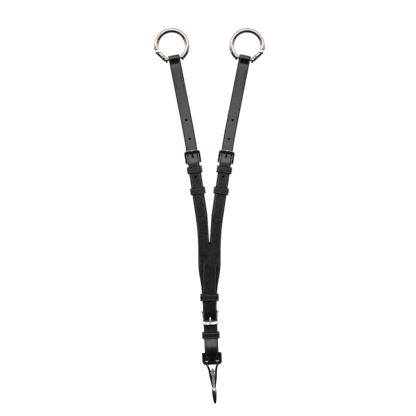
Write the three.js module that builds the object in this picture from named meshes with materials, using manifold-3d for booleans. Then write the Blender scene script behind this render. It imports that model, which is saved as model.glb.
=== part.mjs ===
// A running-martingale fork: a leather yoke with two buckled ring straps above and one buckled snap strap below.
// Millimetres. +X is the right of the front view, +Y points to the back, +Z is up.
// The origin lies half way between the two ring centres, on the line where the reins pass through the rings.
import * as THREE from 'three';
import { mergeVertices } from 'three/addons/utils/BufferGeometryUtils.js';
import Module from 'manifold-3d';

const wasm = await Module();
wasm.setup();

// ---- driving dimensions ------------------------------------------------------------------------------------

const GAP = 0.3;                      // clearance between touching pieces
const RUN = 0.35;                     // clearance beside a strap inside a loop or a buckle
const BAR_RELIEF = 1.2;               // room behind a buckle's tilted front bar

// The drawing frame has its zero on the yoke's middle line, a little below the punched end of the slit.
const ARM_BEND = { x: 28.1, z: 161 };     // where the upper strap bends slightly in its own plane
const ARM_TILT = rad(8.5);                // yoke arm, from the vertical
const STRAP_TILT = rad(11.1);             // free run of the upper strap, from the vertical
const ARM_BEND_HALF = 20;                 // half the length of that bend
const TAIL_BEND_Z = -74;                  // where the lower strap starts to lean
const TAIL_LEAN = rad(2.5);
const TAIL_BEND_HALF = 15;
const SNAP_LEAN = rad(4.2);

const YOKE = { thick: 3.5, armWidth: 17.6, halfBody: 16.4, halfTail: 10.4, skived: 2.0 };
const SLIT = { z: 10, width: 0.24, holeRadius: 1.75 };
const UPPER = { width: 16.7, thick: 3.0, skived: 2.7, hole: 1.9, pitch: 27.9 };
const LOWER = { width: 20.5, waist: 12, thick: 3.2, skived: 1.8, hole: 2.1, pitch: 27.9 };
const KEEPER = { wall: 2.0, height: 9.4 };

// Places along the arm line, measured from the bend, up positive.
const RING_BAR_AT = 119;
const PINCH_AT = 111.5;                   // where the strap's two layers close up below the ring's bar
const UPPER_TIP_AT = -123.7;
const UPPER_HEEL_AT = -34.6;
const UPPER_HOLE_AT = -26.7;
const KEEPER_AT = -45.5;
const RUNNER_AT = -76.3;

// Places along the lower line, measured from its bend, up positive.
const LOWER_TIP_AT = 63;
const LOWER_HEEL_AT = -15;
const LOWER_HOLE_AT = -22.5;
const TAIL_KEEPER_AT = 5.8;
const DROP_KEEPER_AT = -49;
const CREST_AT = -71;
const SNAP_BAR_AT = -87.3;
const SAFE = { width: 29, top: -74.6, bottom: -92.9, neckWidth: 15, neckTop: -56.5, thick: 2.4 };

const RING = { radius: 22.4, wire: 3.4, barDrop: 18.9, bar: 2.2, collarAt: 11.7, collar: 3.8, collarLength: 3 };
const RING_Y = 8;                         // depth of the ring's plane behind the yoke's front face
const GATE = { pinAngle: rad(193.5), pin: 1.2, knuckle: 3.2, slotHalf: 1.75, knuckleHalf: 1.45 };
const LAP = { shoulder: 18.6, tip: 26.6 };       // reach of the gate's shoulder and tip from its pin
const SNAP_Y = 4;
const SNAP = { bar: 1.8, eyeHalf: 8.1, leg: 1.7, wire: 3.4, bend: 9, bendZ: -49, pinY: 3.5, pinZ: -14, pin: 1.1 };

const UPPER_BUCKLE = { opening: UPPER.width + 2 * RUN, outer: 22.9, reach: 16.4, front: 4.4, thick: 2.6, bar: 1.5,
  corner: 2.6, frontY: -1.75 };
const LOWER_BUCKLE = { opening: LOWER.width + 2 * RUN, outer: 28.2, reach: 17.8, front: 4.2, thick: 3.0, bar: 1.8,
  corner: 5.5, frontY: -2.1 };
const TONGUE = { radius: 1.0, widen: 1.3, eyeWidth: 3.2, eyeWall: 1.2, overhang: 2.4 };

const COLOURS = {
  leather: { color: 0x1b1b1c, roughness: 0.5, metalness: 0.0 },
  rose: { color: 0xd9c3ba, roughness: 0.15, metalness: 1.0 },
  bronze: { color: 0xa98a78, roughness: 0.2, metalness: 1.0 },
  silver: { color: 0xdfe0e2, roughness: 0.12, metalness: 1.0 },
};

// ---- small tools -------------------------------------------------------------------------------------------

function rad(degrees) {
  return degrees * Math.PI / 180;
}

// A closed geometry as a solid for cutting and joining.
function solid(geometry) {
  const bare = geometry.clone();
  bare.deleteAttribute('normal');
  bare.deleteAttribute('uv');
  const merged = mergeVertices(bare, 1e-4);
  return new wasm.Manifold(new wasm.Mesh({
    numProp: 3,
    vertProperties: new Float32Array(merged.attributes.position.array),
    triVerts: new Uint32Array(merged.index.array),
  }));
}

function geometryOf(body) {
  const mesh = body.getMesh();
  const geometry = new THREE.BufferGeometry();
  geometry.setAttribute('position', new THREE.BufferAttribute(new Float32Array(mesh.vertProperties), 3));
  geometry.setIndex(new THREE.BufferAttribute(new Uint32Array(mesh.triVerts), 1));
  geometry.computeVertexNormals();
  return geometry;
}

function joined(...geometries) {
  return geometries.map(solid).reduce((sum, next) => sum.add(next));
}

function piece(name, geometry, look) {
  const mesh = new THREE.Mesh(geometry, new THREE.MeshStandardMaterial(COLOURS[look]));
  mesh.name = name;
  return mesh;
}

// A bar of the given radius between two points.
function rod(from, to, radius, sides = 12) {
  const a = new THREE.Vector3(...from);
  const b = new THREE.Vector3(...to);
  const geometry = new THREE.CylinderGeometry(radius, radius, a.distanceTo(b), sides);
  const turn = new THREE.Quaternion().setFromUnitVectors(new THREE.Vector3(0, 1, 0), b.clone().sub(a).normalize());
  geometry.applyQuaternion(turn);
  return geometry.translate(...a.add(b).multiplyScalar(0.5).toArray());
}

function ball(centre, radius) {
  return new THREE.SphereGeometry(radius, 10, 6).translate(...centre);
}

// A bar of round section along a curve.
function tube(curve, radius, steps, sides = 8) {
  const section = new THREE.Shape();
  for (let i = 0; i < sides; i++) {
    const turn = 2 * Math.PI * i / sides;
    const corner = [radius * Math.cos(turn), radius * Math.sin(turn)];
    if (i === 0) {
      section.moveTo(...corner);
    } else {
      section.lineTo(...corner);
    }
  }
  return new THREE.ExtrudeGeometry(section, { extrudePath: curve, steps, bevelEnabled: false });
}

// A flat outline in X and Z, given depth from the front face backwards.
function plate(outline, depth, front = 0) {
  const geometry = new THREE.ExtrudeGeometry(outline, { depth, bevelEnabled: false, curveSegments: 5 });
  return geometry.rotateX(Math.PI / 2).translate(0, front + depth, 0);
}

// A side profile in Y and Z, given width along X about the middle.
function sideProfile(points, width) {
  const shape = new THREE.Shape(points.map(([y, z]) => new THREE.Vector2(z, y)));
  const geometry = new THREE.ExtrudeGeometry(shape, { depth: width, bevelEnabled: false });
  return geometry.translate(0, 0, -width / 2).rotateY(-Math.PI / 2);
}

function roundedBox(x0, y0, x1, y1, radius, Type = THREE.Shape) {
  const shape = new Type();
  shape.moveTo(x0 + radius, y0);
  shape.lineTo(x1 - radius, y0);
  shape.absarc(x1 - radius, y0 + radius, radius, -Math.PI / 2, 0);
  shape.lineTo(x1, y1 - radius);
  shape.absarc(x1 - radius, y1 - radius, radius, 0, Math.PI / 2);
  shape.lineTo(x0 + radius, y1);
  shape.absarc(x0 + radius, y1 - radius, radius, Math.PI / 2, Math.PI);
  shape.lineTo(x0, y0 + radius);
  shape.absarc(x0 + radius, y0 + radius, radius, Math.PI, 1.5 * Math.PI);
  return shape;
}

// ---- straps: a centreline in the front view, and a route in depth --------------------------------------------

// A strap's centreline: straight at `below`, one slight bend about s = 0, then straight at `above`.
function centreline({ x, z, below, above, half }) {
  const radius = 2 * half / (above - below);
  const start = { x: x - half * Math.sin(below), z: z - half * Math.cos(below) };
  return (s) => {
    const turned = THREE.MathUtils.clamp(s + half, 0, 2 * half);
    const angle = below + turned / radius;
    const rest = s + half - turned;
    return {
      x: start.x + radius * (Math.cos(below) - Math.cos(angle)) + rest * Math.sin(angle),
      z: start.z + radius * (Math.sin(angle) - Math.sin(below)) + rest * Math.cos(angle),
      angle,
    };
  };
}

function armLine(side) {
  return centreline({ x: side * ARM_BEND.x, z: ARM_BEND.z, below: side * ARM_TILT, above: side * STRAP_TILT,
    half: ARM_BEND_HALF });
}

const lowerLine = centreline({ x: 0, z: TAIL_BEND_Z, below: -TAIL_LEAN, above: 0, half: TAIL_BEND_HALF });

function frameMatrix(line, s, y = 0) {
  const at = line(s);
  return new THREE.Matrix4().makeRotationY(at.angle).setPosition(at.x, y, at.z);
}

function frameGroup(line, s, y = 0) {
  const at = line(s);
  const group = new THREE.Group();
  group.position.set(at.x, y, at.z);
  group.rotation.y = at.angle;
  return group;
}

// Bends a straight piece, whose Z is the distance along the line, into the line.
function bent(geometry, line) {
  const position = geometry.attributes.position;
  for (let i = 0; i < position.count; i++) {
    const at = line(position.getZ(i));
    const across = position.getX(i);
    position.setXYZ(i, at.x + across * Math.cos(at.angle), position.getY(i), at.z - across * Math.sin(at.angle));
  }
  return geometry;
}

// Turns corners [s, y, thickness, ease] into a route, rounding each corner from `ease` before to `ease` after.
function route(corners) {
  const STEPS = 3;
  const toward = (from, to, length) => {
    const share = length / Math.hypot(to[0] - from[0], to[1] - from[1]);
    return [0, 1, 2].map((k) => THREE.MathUtils.lerp(from[k], to[k], share));
  };
  return corners.flatMap((corner, i) => {
    const ease = corner[3];
    if (!ease) return [corner.slice(0, 3)];
    const before = toward(corner, corners[i - 1], ease);
    const after = toward(corner, corners[i + 1], ease);
    return Array.from({ length: STEPS + 1 }, (_, k) => {
      const u = k / STEPS;
      return [0, 1, 2].map((j) => (1 - u) ** 2 * before[j] + 2 * u * (1 - u) * corner[j] + u ** 2 * after[j]);
    });
  });
}

// Points of a fold round a bar at (s, y), from one angle to another; angle 0 points up the line.
function fold(s, y, radius, from, to, thick) {
  const STEPS = 7;
  return Array.from({ length: STEPS + 1 }, (_, k) => {
    const angle = rad(from + (to - from) * k / STEPS);
    return [s + radius * Math.cos(angle), y + radius * Math.sin(angle), thick];
  });
}

function stretch(from, to, count) {
  return Array.from({ length: count + 1 }, (_, k) => [0, 1, 2].map((j) => from[j] + (to[j] - from[j]) * k / count));
}

// A strip of leather that follows a route, as a straight piece with Z along it.
function ribbon(corners, width) {
  const points = route(corners);
  const offset = (i, sign) => {
    const [s0, y0] = points[Math.max(i - 1, 0)];
    const [s1, y1] = points[Math.min(i + 1, points.length - 1)];
    const length = Math.hypot(s1 - s0, y1 - y0);
    const [s, y, thick] = points[i];
    return [y + sign * (s1 - s0) / length * thick / 2, s - sign * (y1 - y0) / length * thick / 2];
  };
  const front = points.map((_, i) => offset(i, -1));
  const back = points.map((_, i) => offset(i, 1)).reverse();
  return sideProfile([...front, ...back], width);
}

// A punched hole, or a slot when `length` is more than twice the radius, through a strap at s.
function punch(line, s, radius, length = 2 * radius) {
  const reach = length / 2 - radius;
  const outline = new THREE.Shape();
  outline.absarc(0, reach, radius, 0, Math.PI);
  outline.absarc(0, -reach, radius, Math.PI, 2 * Math.PI);
  return solid(plate(outline, 40, -20).applyMatrix4(frameMatrix(line, s)));
}

// What is left of a strap's square end when its tip is cut to a point; `up` is 1 when the tip points up.
function tipCutter(line, s, width, pointLength, bow, up) {
  const half = width / 2;
  const outline = new THREE.Shape();
  outline.moveTo(-half - 1, -up * pointLength);
  outline.lineTo(-half, -up * pointLength);
  outline.quadraticCurveTo(-half, -up * pointLength * (1 - bow), 0, 0);
  outline.quadraticCurveTo(half, -up * pointLength * (1 - bow), half, -up * pointLength);
  outline.lineTo(half + 1, -up * pointLength);
  outline.lineTo(half + 1, up * 2);
  outline.lineTo(-half - 1, up * 2);
  return solid(plate(outline, 40, -20).applyMatrix4(frameMatrix(line, s)));
}

// A flat leather loop round a strap: inner half width, inner front and back.
function keeperLoop(halfWidth, front, back) {
  const { wall, height } = KEEPER;
  const outline = roundedBox(-halfWidth - wall, front - wall, halfWidth + wall, back + wall, 2.4);
  outline.holes.push(roundedBox(-halfWidth, front, halfWidth, back, 0.7, THREE.Path));
  const geometry = new THREE.ExtrudeGeometry(outline, { depth: height, bevelEnabled: false, curveSegments: 2 });
  return geometry.translate(0, 0, -height / 2);
}

// ---- the yoke ----------------------------------------------------------------------------------------------

const HEEL_Y = { upper: YOKE.skived + GAP + UPPER_BUCKLE.bar, lower: YOKE.skived + GAP + LOWER_BUCKLE.bar };
const ARM_PLATE_END = UPPER_HEEL_AT - 7;
const TAIL_PLATE_END = LOWER_HEEL_AT + 7;

function yokeOutline() {
  const arm = armLine(1);
  const half = YOKE.armWidth / 2;
  const edge = (s, sign) => {
    const at = arm(s);
    return [at.x + sign * half * Math.cos(at.angle), at.z - sign * half * Math.sin(at.angle)];
  };
  const crotch = -112;                                   // where the arms leave the body, along the arm line
  const [innerX, innerZ] = edge(crotch, -1);
  const [outerX, outerZ] = edge(crotch, 1);
  const right = new THREE.Path();
  right.moveTo(SLIT.width / 2, SLIT.z);
  right.bezierCurveTo(1.0, 25, innerX - 0.6, innerZ - 10, innerX, innerZ);
  right.lineTo(...edge(ARM_PLATE_END, -1));
  right.lineTo(...edge(ARM_PLATE_END, 1));
  right.lineTo(outerX, outerZ);
  right.bezierCurveTo(outerX - 2.6, outerZ - 17, YOKE.halfBody, 15, YOKE.halfBody, -5);
  right.lineTo(YOKE.halfBody, -14);
  right.bezierCurveTo(YOKE.halfBody - 0.2, -42, YOKE.halfTail + 0.6, -42, YOKE.halfTail, TAIL_BEND_Z - 8);
  const points = right.getPoints(7);
  const left = points.map((p) => new THREE.Vector2(-p.x, p.y)).reverse();
  return new THREE.Shape([...points, ...left]);
}

// The yoke's ends are skived, folded round a buckle's heel bar and laid back along the inside.
function chape(line, heel, heelY, bar, width, direction) {
  const { thick, skived } = YOKE;
  const mid = bar + GAP + skived / 2;
  const laid = thick + GAP + skived / 2;
  const wrap = direction > 0 ? fold(heel, heelY, mid, -90, 90, skived) : fold(heel, heelY, mid, 270, 90, skived);
  const down = (distance) => heel - direction * distance;
  const strip = ribbon([
    [down(10), thick / 2, thick],
    [down(6), skived / 2, skived, 1.5],
    ...wrap,
    [down(4), heelY + mid, skived, 1.5],
    [down(10), laid, skived, 3],
    [down(50), laid - 0.3, skived - 0.8],
  ], width);
  return bent(strip, line);
}

function yoke() {
  const body = plate(yokeOutline(), YOKE.thick);
  let leather = solid(bentTail(body));
  const slotAt = (line, heel) => punch(line, heel, 2.5, 12);
  for (const side of [-1, 1]) {
    const line = armLine(side);
    const end = chape(line, UPPER_HEEL_AT, HEEL_Y.upper, UPPER_BUCKLE.bar, UPPER.width, 1);
    leather = leather.add(solid(end)).subtract(slotAt(line, UPPER_HEEL_AT));
  }
  const tail = chape(lowerLine, LOWER_HEEL_AT, HEEL_Y.lower, LOWER_BUCKLE.bar, LOWER.width - 0.2, -1);
  leather = leather.add(solid(tail)).subtract(slotAt(lowerLine, LOWER_HEEL_AT));
  const stop = new THREE.CylinderGeometry(SLIT.holeRadius, SLIT.holeRadius, 20, 16).translate(0, 0, SLIT.z);
  return piece('yoke', geometryOf(leather.subtract(solid(stop))), 'leather');
}

// The yoke's flat tail leans with the lower strap below the bend.
function bentTail(geometry) {
  const position = geometry.attributes.position;
  for (let i = 0; i < position.count; i++) {
    const s = position.getZ(i) - TAIL_BEND_Z;
    if (s > TAIL_BEND_HALF) continue;
    const at = lowerLine(s);
    const across = position.getX(i);
    position.setXYZ(i, at.x + across * Math.cos(at.angle), position.getY(i), at.z - across * Math.sin(at.angle));
  }
  return geometry;
}

// ---- straps ------------------------------------------------------------------------------------------------

function upperStrap(name, side) {
  const line = armLine(side);
  const { thick, skived, width } = UPPER;
  const lying = -GAP - thick / 2;
  const behindBar = UPPER_BUCKLE.frontY + UPPER_BUCKLE.thick / 2 + thick / 2 + BAR_RELIEF;
  const wrap = RING.bar + GAP + skived / 2;
  const runTop = [106, RING_Y - (GAP + thick) / 2, thick];
  const backOfRun = (s) => THREE.MathUtils.mapLinear(s, -19, runTop[0], behindBar, runTop[1]) + thick / 2;
  const corners = [
    [UPPER_TIP_AT, lying, thick],
    [-33, lying, thick, 3],
    [-21.5, behindBar, thick, 3],
    ...stretch([-16, behindBar, thick], [20, backOfRun(20) - thick / 2, thick], 6),
    runTop,
    [PINCH_AT, RING_Y - GAP - skived / 2, skived, 1.5],
    ...fold(RING_BAR_AT, RING_Y, wrap, -130, 130, skived),
    [PINCH_AT, RING_Y + GAP + skived / 2, skived, 1.5],
    [98, backOfRun(98) + GAP + 0.1 + skived / 2, skived, 4],
    [73, backOfRun(73) + GAP + 0.1 + skived / 2, skived - 1.2],
  ];
  let leather = solid(bent(ribbon(corners, width), line));
  leather = leather.subtract(tipCutter(line, UPPER_TIP_AT, width, 12, 0.75, -1));
  leather = leather.subtract(punch(line, UPPER_HEEL_AT + 4.6, 1.75, 12.4));
  for (const step of [-1, 1, 2]) {
    leather = leather.subtract(punch(line, UPPER_HOLE_AT + step * UPPER.pitch, UPPER.hole));
  }
  return piece(name, geometryOf(leather), 'leather');
}

// The strap narrows to pass through the snap's eye.
function waistCutter(side) {
  const { width, waist } = LOWER;
  const corners = [[width / 2 + 2, -74], [width / 2, -76], [waist / 2, -83.5], [waist / 2, -98], [width / 2 + 2, -98]];
  const outline = new THREE.Shape(corners.map(([x, s]) => new THREE.Vector2(side * x, s)));
  return solid(bent(plate(outline, 40, -20), lowerLine));
}

function dropY(s) {
  const behindBar = LOWER_BUCKLE.frontY + LOWER_BUCKLE.thick / 2 + LOWER.thick / 2 + BAR_RELIEF;
  return THREE.MathUtils.mapLinear(s, LOWER_HEEL_AT - 18, CREST_AT, behindBar, -2);
}

function lowerStrap() {
  const { thick, skived, width } = LOWER;
  const lying = -GAP - thick / 2;
  const wrap = SNAP.bar + GAP + skived / 2;
  const turnedY = (s) => dropY(s) + thick / 2 + GAP + 0.1 + skived / 2;
  const corners = [
    [LOWER_TIP_AT, lying, thick],
    ...stretch([16, lying, thick], [-12, lying, thick], 5),
    [LOWER_HEEL_AT - 2.5, lying, thick, 2.5],
    [LOWER_HEEL_AT - 14.5, dropY(LOWER_HEEL_AT - 14.5), thick, 3],
    [CREST_AT, dropY(CREST_AT), thick, 7],
    [SNAP_BAR_AT + 3, SNAP_Y - wrap - 0.5, skived, 2],
    ...fold(SNAP_BAR_AT, SNAP_Y, wrap, 260, 90, skived),
    [SNAP_BAR_AT + 3, SNAP_Y + wrap - 0.3, skived, 2],
    [-69.5, turnedY(-69.5), skived, 4],
    [-42, turnedY(-42), skived - 0.8],
  ];
  let leather = solid(bent(ribbon(corners, width), lowerLine));
  for (const side of [-1, 1]) leather = leather.subtract(waistCutter(side));
  leather = leather.subtract(tipCutter(lowerLine, LOWER_TIP_AT, width, 13, 0.35, 1));
  leather = leather.subtract(punch(lowerLine, LOWER_HEEL_AT - 4.9, 1.75, 13.4));
  leather = leather.subtract(punch(lowerLine, LOWER_HOLE_AT + LOWER.pitch - 6, LOWER.hole));
  return piece('lower_strap', geometryOf(leather), 'leather');
}

// A leather guard behind the snap's eye, with a neck sewn up behind the strap's turned end.
function snapSafe() {
  const { thick, width, top, bottom, neckWidth, neckTop } = SAFE;
  const hang = SNAP_Y + SNAP.bar + GAP + LOWER.skived + GAP + thick / 2;
  const behind = (s) => dropY(s) + LOWER.thick / 2 + LOWER.skived + 2 * GAP + 0.3 + thick / 2;
  const strip = ribbon([
    [bottom, hang, thick],
    [SNAP_BAR_AT + 1.5, hang, thick, 2],
    [-68, behind(-68), thick, 4],
    [neckTop, behind(neckTop), thick - 0.6],
  ], width);
  const plan = new THREE.Shape();
  const round = 5;
  const half = width / 2;
  const neck = neckWidth / 2;
  plan.moveTo(-half + round, bottom);
  plan.lineTo(half - round, bottom);
  plan.absarc(half - round, bottom + round, round, -Math.PI / 2, 0);
  plan.lineTo(half, top);
  plan.lineTo(neck + 2, top);
  plan.quadraticCurveTo(neck, top, neck, top + 3);
  plan.lineTo(neck, neckTop + 1);
  plan.lineTo(-neck, neckTop + 1);
  plan.lineTo(-neck, top + 3);
  plan.quadraticCurveTo(-neck, top, -neck - 2, top);
  plan.lineTo(-half, top);
  plan.lineTo(-half, bottom + round);
  plan.absarc(-half + round, bottom + round, round, Math.PI, 1.5 * Math.PI);
  const cut = solid(strip).intersect(solid(plate(plan, 40, -20)));
  return piece('snap_safe', bent(geometryOf(cut), lowerLine), 'leather');
}

function keeper(name, line, s, halfWidth, front, back) {
  const group = frameGroup(line, s);
  group.add(piece(name, keeperLoop(halfWidth, front, back), 'leather'));
  return group;
}

// ---- buckles -----------------------------------------------------------------------------------------------

// A horseshoe frame whose front bar bows outwards, closed by a round heel bar along X through its origin.
function buckleFrame(size) {
  const { opening, outer, reach, front, thick, bar, corner } = size;
  const half = outer / 2;
  const inner = opening / 2;
  const top = reach + front / 2;
  const under = reach - front / 2;
  const soft = corner / 2;
  const shape = new THREE.Shape();
  shape.moveTo(-half, -bar);
  shape.lineTo(-inner, -bar);
  shape.lineTo(-inner, under - soft);
  shape.quadraticCurveTo(-inner, under, -inner + soft, under);
  shape.lineTo(inner - soft, under);
  shape.quadraticCurveTo(inner, under, inner, under - soft);
  shape.lineTo(inner, -bar);
  shape.lineTo(half, -bar);
  shape.lineTo(half, top - corner);
  shape.quadraticCurveTo(half, top - 0.4, half - corner, top);
  shape.quadraticCurveTo(0, top + 0.8, -half + corner, top);
  shape.quadraticCurveTo(-half, top - 0.4, -half, top - corner);
  shape.lineTo(-half, -bar);
  const heel = rod([-half + 0.8, 0, 0], [half - 0.8, 0, 0], bar);
  return geometryOf(joined(plate(shape, thick, -thick / 2), heel));
}

// How far the frame tips forwards for its front bar to lie in front of the strap.
function frameTilt(size, heelY) {
  return Math.asin((heelY - size.frontY) / size.reach);
}

function buckleTongue(size, heelY) {
  const tilt = frameTilt(size, heelY);
  const { radius, widen, eyeWidth, eyeWall, overhang } = TONGUE;
  const inner = size.bar + GAP;
  const barZ = size.reach * Math.cos(tilt);
  const barY = size.frontY - heelY - (size.thick / 2) / Math.cos(tilt) - GAP - radius - 0.6;
  const start = new THREE.Vector3(0, -inner - radius, 0);
  const rest = new THREE.Vector3(0, barY, barZ);
  const end = new THREE.Vector3(0, barY - 0.1, barZ + overhang);
  const blade = new THREE.CurvePath();
  blade.add(new THREE.LineCurve3(start, rest));
  blade.add(new THREE.LineCurve3(rest, end));
  const ring = new THREE.Shape();
  ring.absarc(0, 0, inner + eyeWall, 0, 2 * Math.PI);
  ring.holes.push(new THREE.Path().absarc(0, 0, inner, 0, 2 * Math.PI));
  const eye = new THREE.ExtrudeGeometry(ring, { depth: eyeWidth, bevelEnabled: false, curveSegments: 7 });
  eye.translate(0, 0, -eyeWidth / 2).rotateY(Math.PI / 2);
  const flat = tube(blade, radius, 4, 8).scale(widen, 1, 1);
  return geometryOf(joined(eye, flat, ball(end.toArray(), radius * 0.98)));
}

// Frame and tongue on one heel; `down` turns the front bar to the bottom.
function buckle(name, line, s, size, heelY, look, down) {
  const group = frameGroup(line, s, heelY);
  if (down) group.rotation.y += Math.PI;
  const frame = piece(`${name}_frame`, buckleFrame(size), look);
  frame.rotation.x = frameTilt(size, heelY);
  group.add(frame, piece(`${name}_tongue`, buckleTongue(size, heelY), look));
  return group;
}

// ---- ring with a sprung gate ---------------------------------------------------------------------------------

// In the ring's own frame the gate is on the -X side and the strap bar is at the bottom.
const onRing = (angle, radius = RING.radius) => [radius * Math.cos(angle), 0, radius * Math.sin(angle)];
const PIN = new THREE.Vector3(...onRing(GATE.pinAngle));
const LEFT_COLLAR = new THREE.Vector3(-RING.collarAt, 0, -RING.barDrop);
const housingPoint = (distance) => PIN.clone().lerp(LEFT_COLLAR, distance / PIN.distanceTo(LEFT_COLLAR)).toArray();

function ringArc(from, to, steps) {
  const curve = new THREE.CurvePath();
  const points = Array.from({ length: steps + 1 }, (_, i) => onRing(from + (to - from) * i / steps));
  for (let i = 0; i < steps; i++) {
    curve.add(new THREE.LineCurve3(new THREE.Vector3(...points[i]), new THREE.Vector3(...points[i + 1])));
  }
  return tube(curve, RING.wire, steps, 10);
}

// A disc about an axis along Y through the given point.
function disc(centre, radius, halfDepth, sides = 36) {
  const geometry = new THREE.CylinderGeometry(radius, radius, 2 * halfDepth, sides);
  return solid(geometry.translate(centre.x, centre.y, centre.z));
}

const CENTRE = new THREE.Vector3();
const DEEP = 10;

function ringBody() {
  const { barDrop, collarAt, collar, collarLength, wire } = RING;
  const alongX = (x0, x1, radius) => rod([x0, 0, -barDrop], [x1, 0, -barDrop], radius);
  const arc = solid(ringArc(rad(-58.5), rad(160), 26))
    .subtract(disc(PIN, LAP.shoulder + GAP, DEEP))
    .subtract(disc(CENTRE, RING.radius + GAP / 2, DEEP).intersect(disc(PIN, LAP.tip + GAP, DEEP)));
  const half = collarLength / 2;
  const bar = alongX(-collarAt, collarAt, RING.bar);
  const collars = [-1, 1].map((side) => alongX(side * collarAt - half, side * collarAt + half, collar));
  const housing = rod(LEFT_COLLAR.toArray(), housingPoint(1.5), wire);
  const fork = disc(PIN, wire, wire, 16);
  const slot = disc(PIN, wire + 0.6, GATE.slotHalf, 16);
  const pinHole = disc(PIN, GATE.pin + GAP, DEEP, 12);
  const springBore = solid(rod(housingPoint(0), housingPoint(11.5), 1.95, 12));
  const body = joined(bar, ...collars, housing).add(arc).add(fork);
  return geometryOf(body.subtract(slot).subtract(pinHole).subtract(springBore));
}

function ringGate() {
  const arc = solid(ringArc(rad(110), GATE.pinAngle - rad(9.7), 12));
  const inner = disc(CENTRE, RING.radius - GAP / 2, DEEP).intersect(disc(PIN, LAP.tip, DEEP));
  const gate = arc.intersect(disc(PIN, LAP.shoulder, DEEP).add(inner));
  const knuckle = disc(PIN, GATE.knuckle, GATE.knuckleHalf, 16);
  const neckEnd = onRing(GATE.pinAngle - rad(12));
  const neckSize = 3.6;
  const neck = new THREE.BoxGeometry(neckSize, 2 * GATE.knuckleHalf, 5.2);
  neck.rotateY(GATE.pinAngle - Math.PI - rad(3)).translate((PIN.x + neckEnd[0]) / 2, 0, (PIN.z + neckEnd[2]) / 2);
  return geometryOf(gate.add(knuckle).add(solid(neck)).subtract(disc(PIN, GATE.pin + GAP, DEEP, 12)));
}

function coil(radius, wire, turns, length) {
  const STEPS = 8;
  const points = Array.from({ length: turns * STEPS + 1 }, (_, i) => {
    const turn = 2 * Math.PI * i / STEPS;
    return new THREE.Vector3(radius * Math.cos(turn), length * i / (turns * STEPS), radius * Math.sin(turn));
  });
  return tube(new THREE.CatmullRomCurve3(points), wire, turns * STEPS, 4);
}

function ringParts(name, side) {
  const group = frameGroup(armLine(side), RING_BAR_AT + RING.barDrop, RING_Y);
  const turned = new THREE.Group();
  if (side > 0) turned.rotation.z = Math.PI;
  const pin = new THREE.CylinderGeometry(GATE.pin, GATE.pin, 2 * RING.wire, 14).translate(...PIN.toArray());
  const spring = coil(1.25, 0.25, 5, 4.4);
  const toBore = new THREE.Vector3(...housingPoint(6.6)).sub(PIN).normalize();
  spring.applyQuaternion(new THREE.Quaternion().setFromUnitVectors(new THREE.Vector3(0, 1, 0), toBore));
  spring.translate(...housingPoint(6.6));
  turned.add(
    piece(`${name}_ring_body`, ringBody(), 'rose'),
    piece(`${name}_ring_gate`, ringGate(), 'rose'),
    piece(`${name}_ring_gate_pin`, pin, 'rose'),
    piece(`${name}_ring_gate_plunger`, rod(housingPoint(3.6), housingPoint(5.9), 1.5, 12), 'silver'),
    piece(`${name}_ring_gate_spring`, spring, 'silver'),
  );
  group.add(turned);
  return group;
}

// ---- snap hook -------------------------------------------------------------------------------------------------

// In the snap's own frame the eye bar lies along X through the origin and the hook hangs below it.
const HOOK_TAPER = (z) => THREE.MathUtils.clamp(THREE.MathUtils.mapLinear(z, -47, -62, 1.03, 0.55), 0.55, 1.03);

function snapBody() {
  const { bar, eyeHalf, leg, wire, bend, bendZ, pinY, pinZ, pin } = SNAP;
  const legCurve = (side) => new THREE.CatmullRomCurve3([
    [eyeHalf, 0, 0], [eyeHalf, 0.2, -3.8], [6.3, 1, -7.4], [4.8, 2.9, -13.5], [3.6, 5.8, -24], [1.6, 8.4, -36],
  ].map(([x, y, z]) => new THREE.Vector3(side * x, y, z)));
  const hook = new THREE.CurvePath();
  const onBend = (angle) => new THREE.Vector3(0, bend * Math.cos(angle), bendZ + bend * Math.sin(angle));
  const bendPoints = Array.from({ length: 11 }, (_, i) => onBend(-Math.PI * i / 10));
  const hookPoints = [new THREE.Vector3(0, bend - 0.8, -33), ...bendPoints, new THREE.Vector3(0, -bend + 0.4, -41)];
  hookPoints.slice(1).forEach((point, i) => hook.add(new THREE.LineCurve3(hookPoints[i], point)));
  const sweep = tube(hook, wire, 18, 10);
  const nose = ball([0, -bend + 0.4, -41], wire * 0.99);
  for (const part of [sweep, nose]) {
    const position = part.attributes.position;
    for (let i = 0; i < position.count; i++) position.setX(i, position.getX(i) * HOOK_TAPER(position.getZ(i)));
  }
  const eye = joined(rod([-eyeHalf, 0, 0], [eyeHalf, 0, 0], bar), ball([-eyeHalf, 0, 0], leg), ball([eyeHalf, 0, 0], leg));
  const legs = joined(tube(legCurve(1), leg, 10), tube(legCurve(-1), leg, 10), ball([0, bend - 0.8, -33.5], wire));
  const pinHole = solid(rod([-12, pinY, pinZ], [12, pinY, pinZ], pin + GAP, 16));
  const gateRoom = solid(sideProfile([[-14, -44], [-14, -8], [6.5, -8], [6.5, -19], [3.6, -38], [-4.9, -45]], 4.4));
  const noseCut = solid(sideProfile([[-6.6, -36], [-6.2, -43.5], [-2, -43.5], [-2, -36]], 12));
  return geometryOf(eye.add(legs).subtract(gateRoom).add(joined(sweep, nose)).subtract(noseCut).subtract(pinHole));
}

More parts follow.
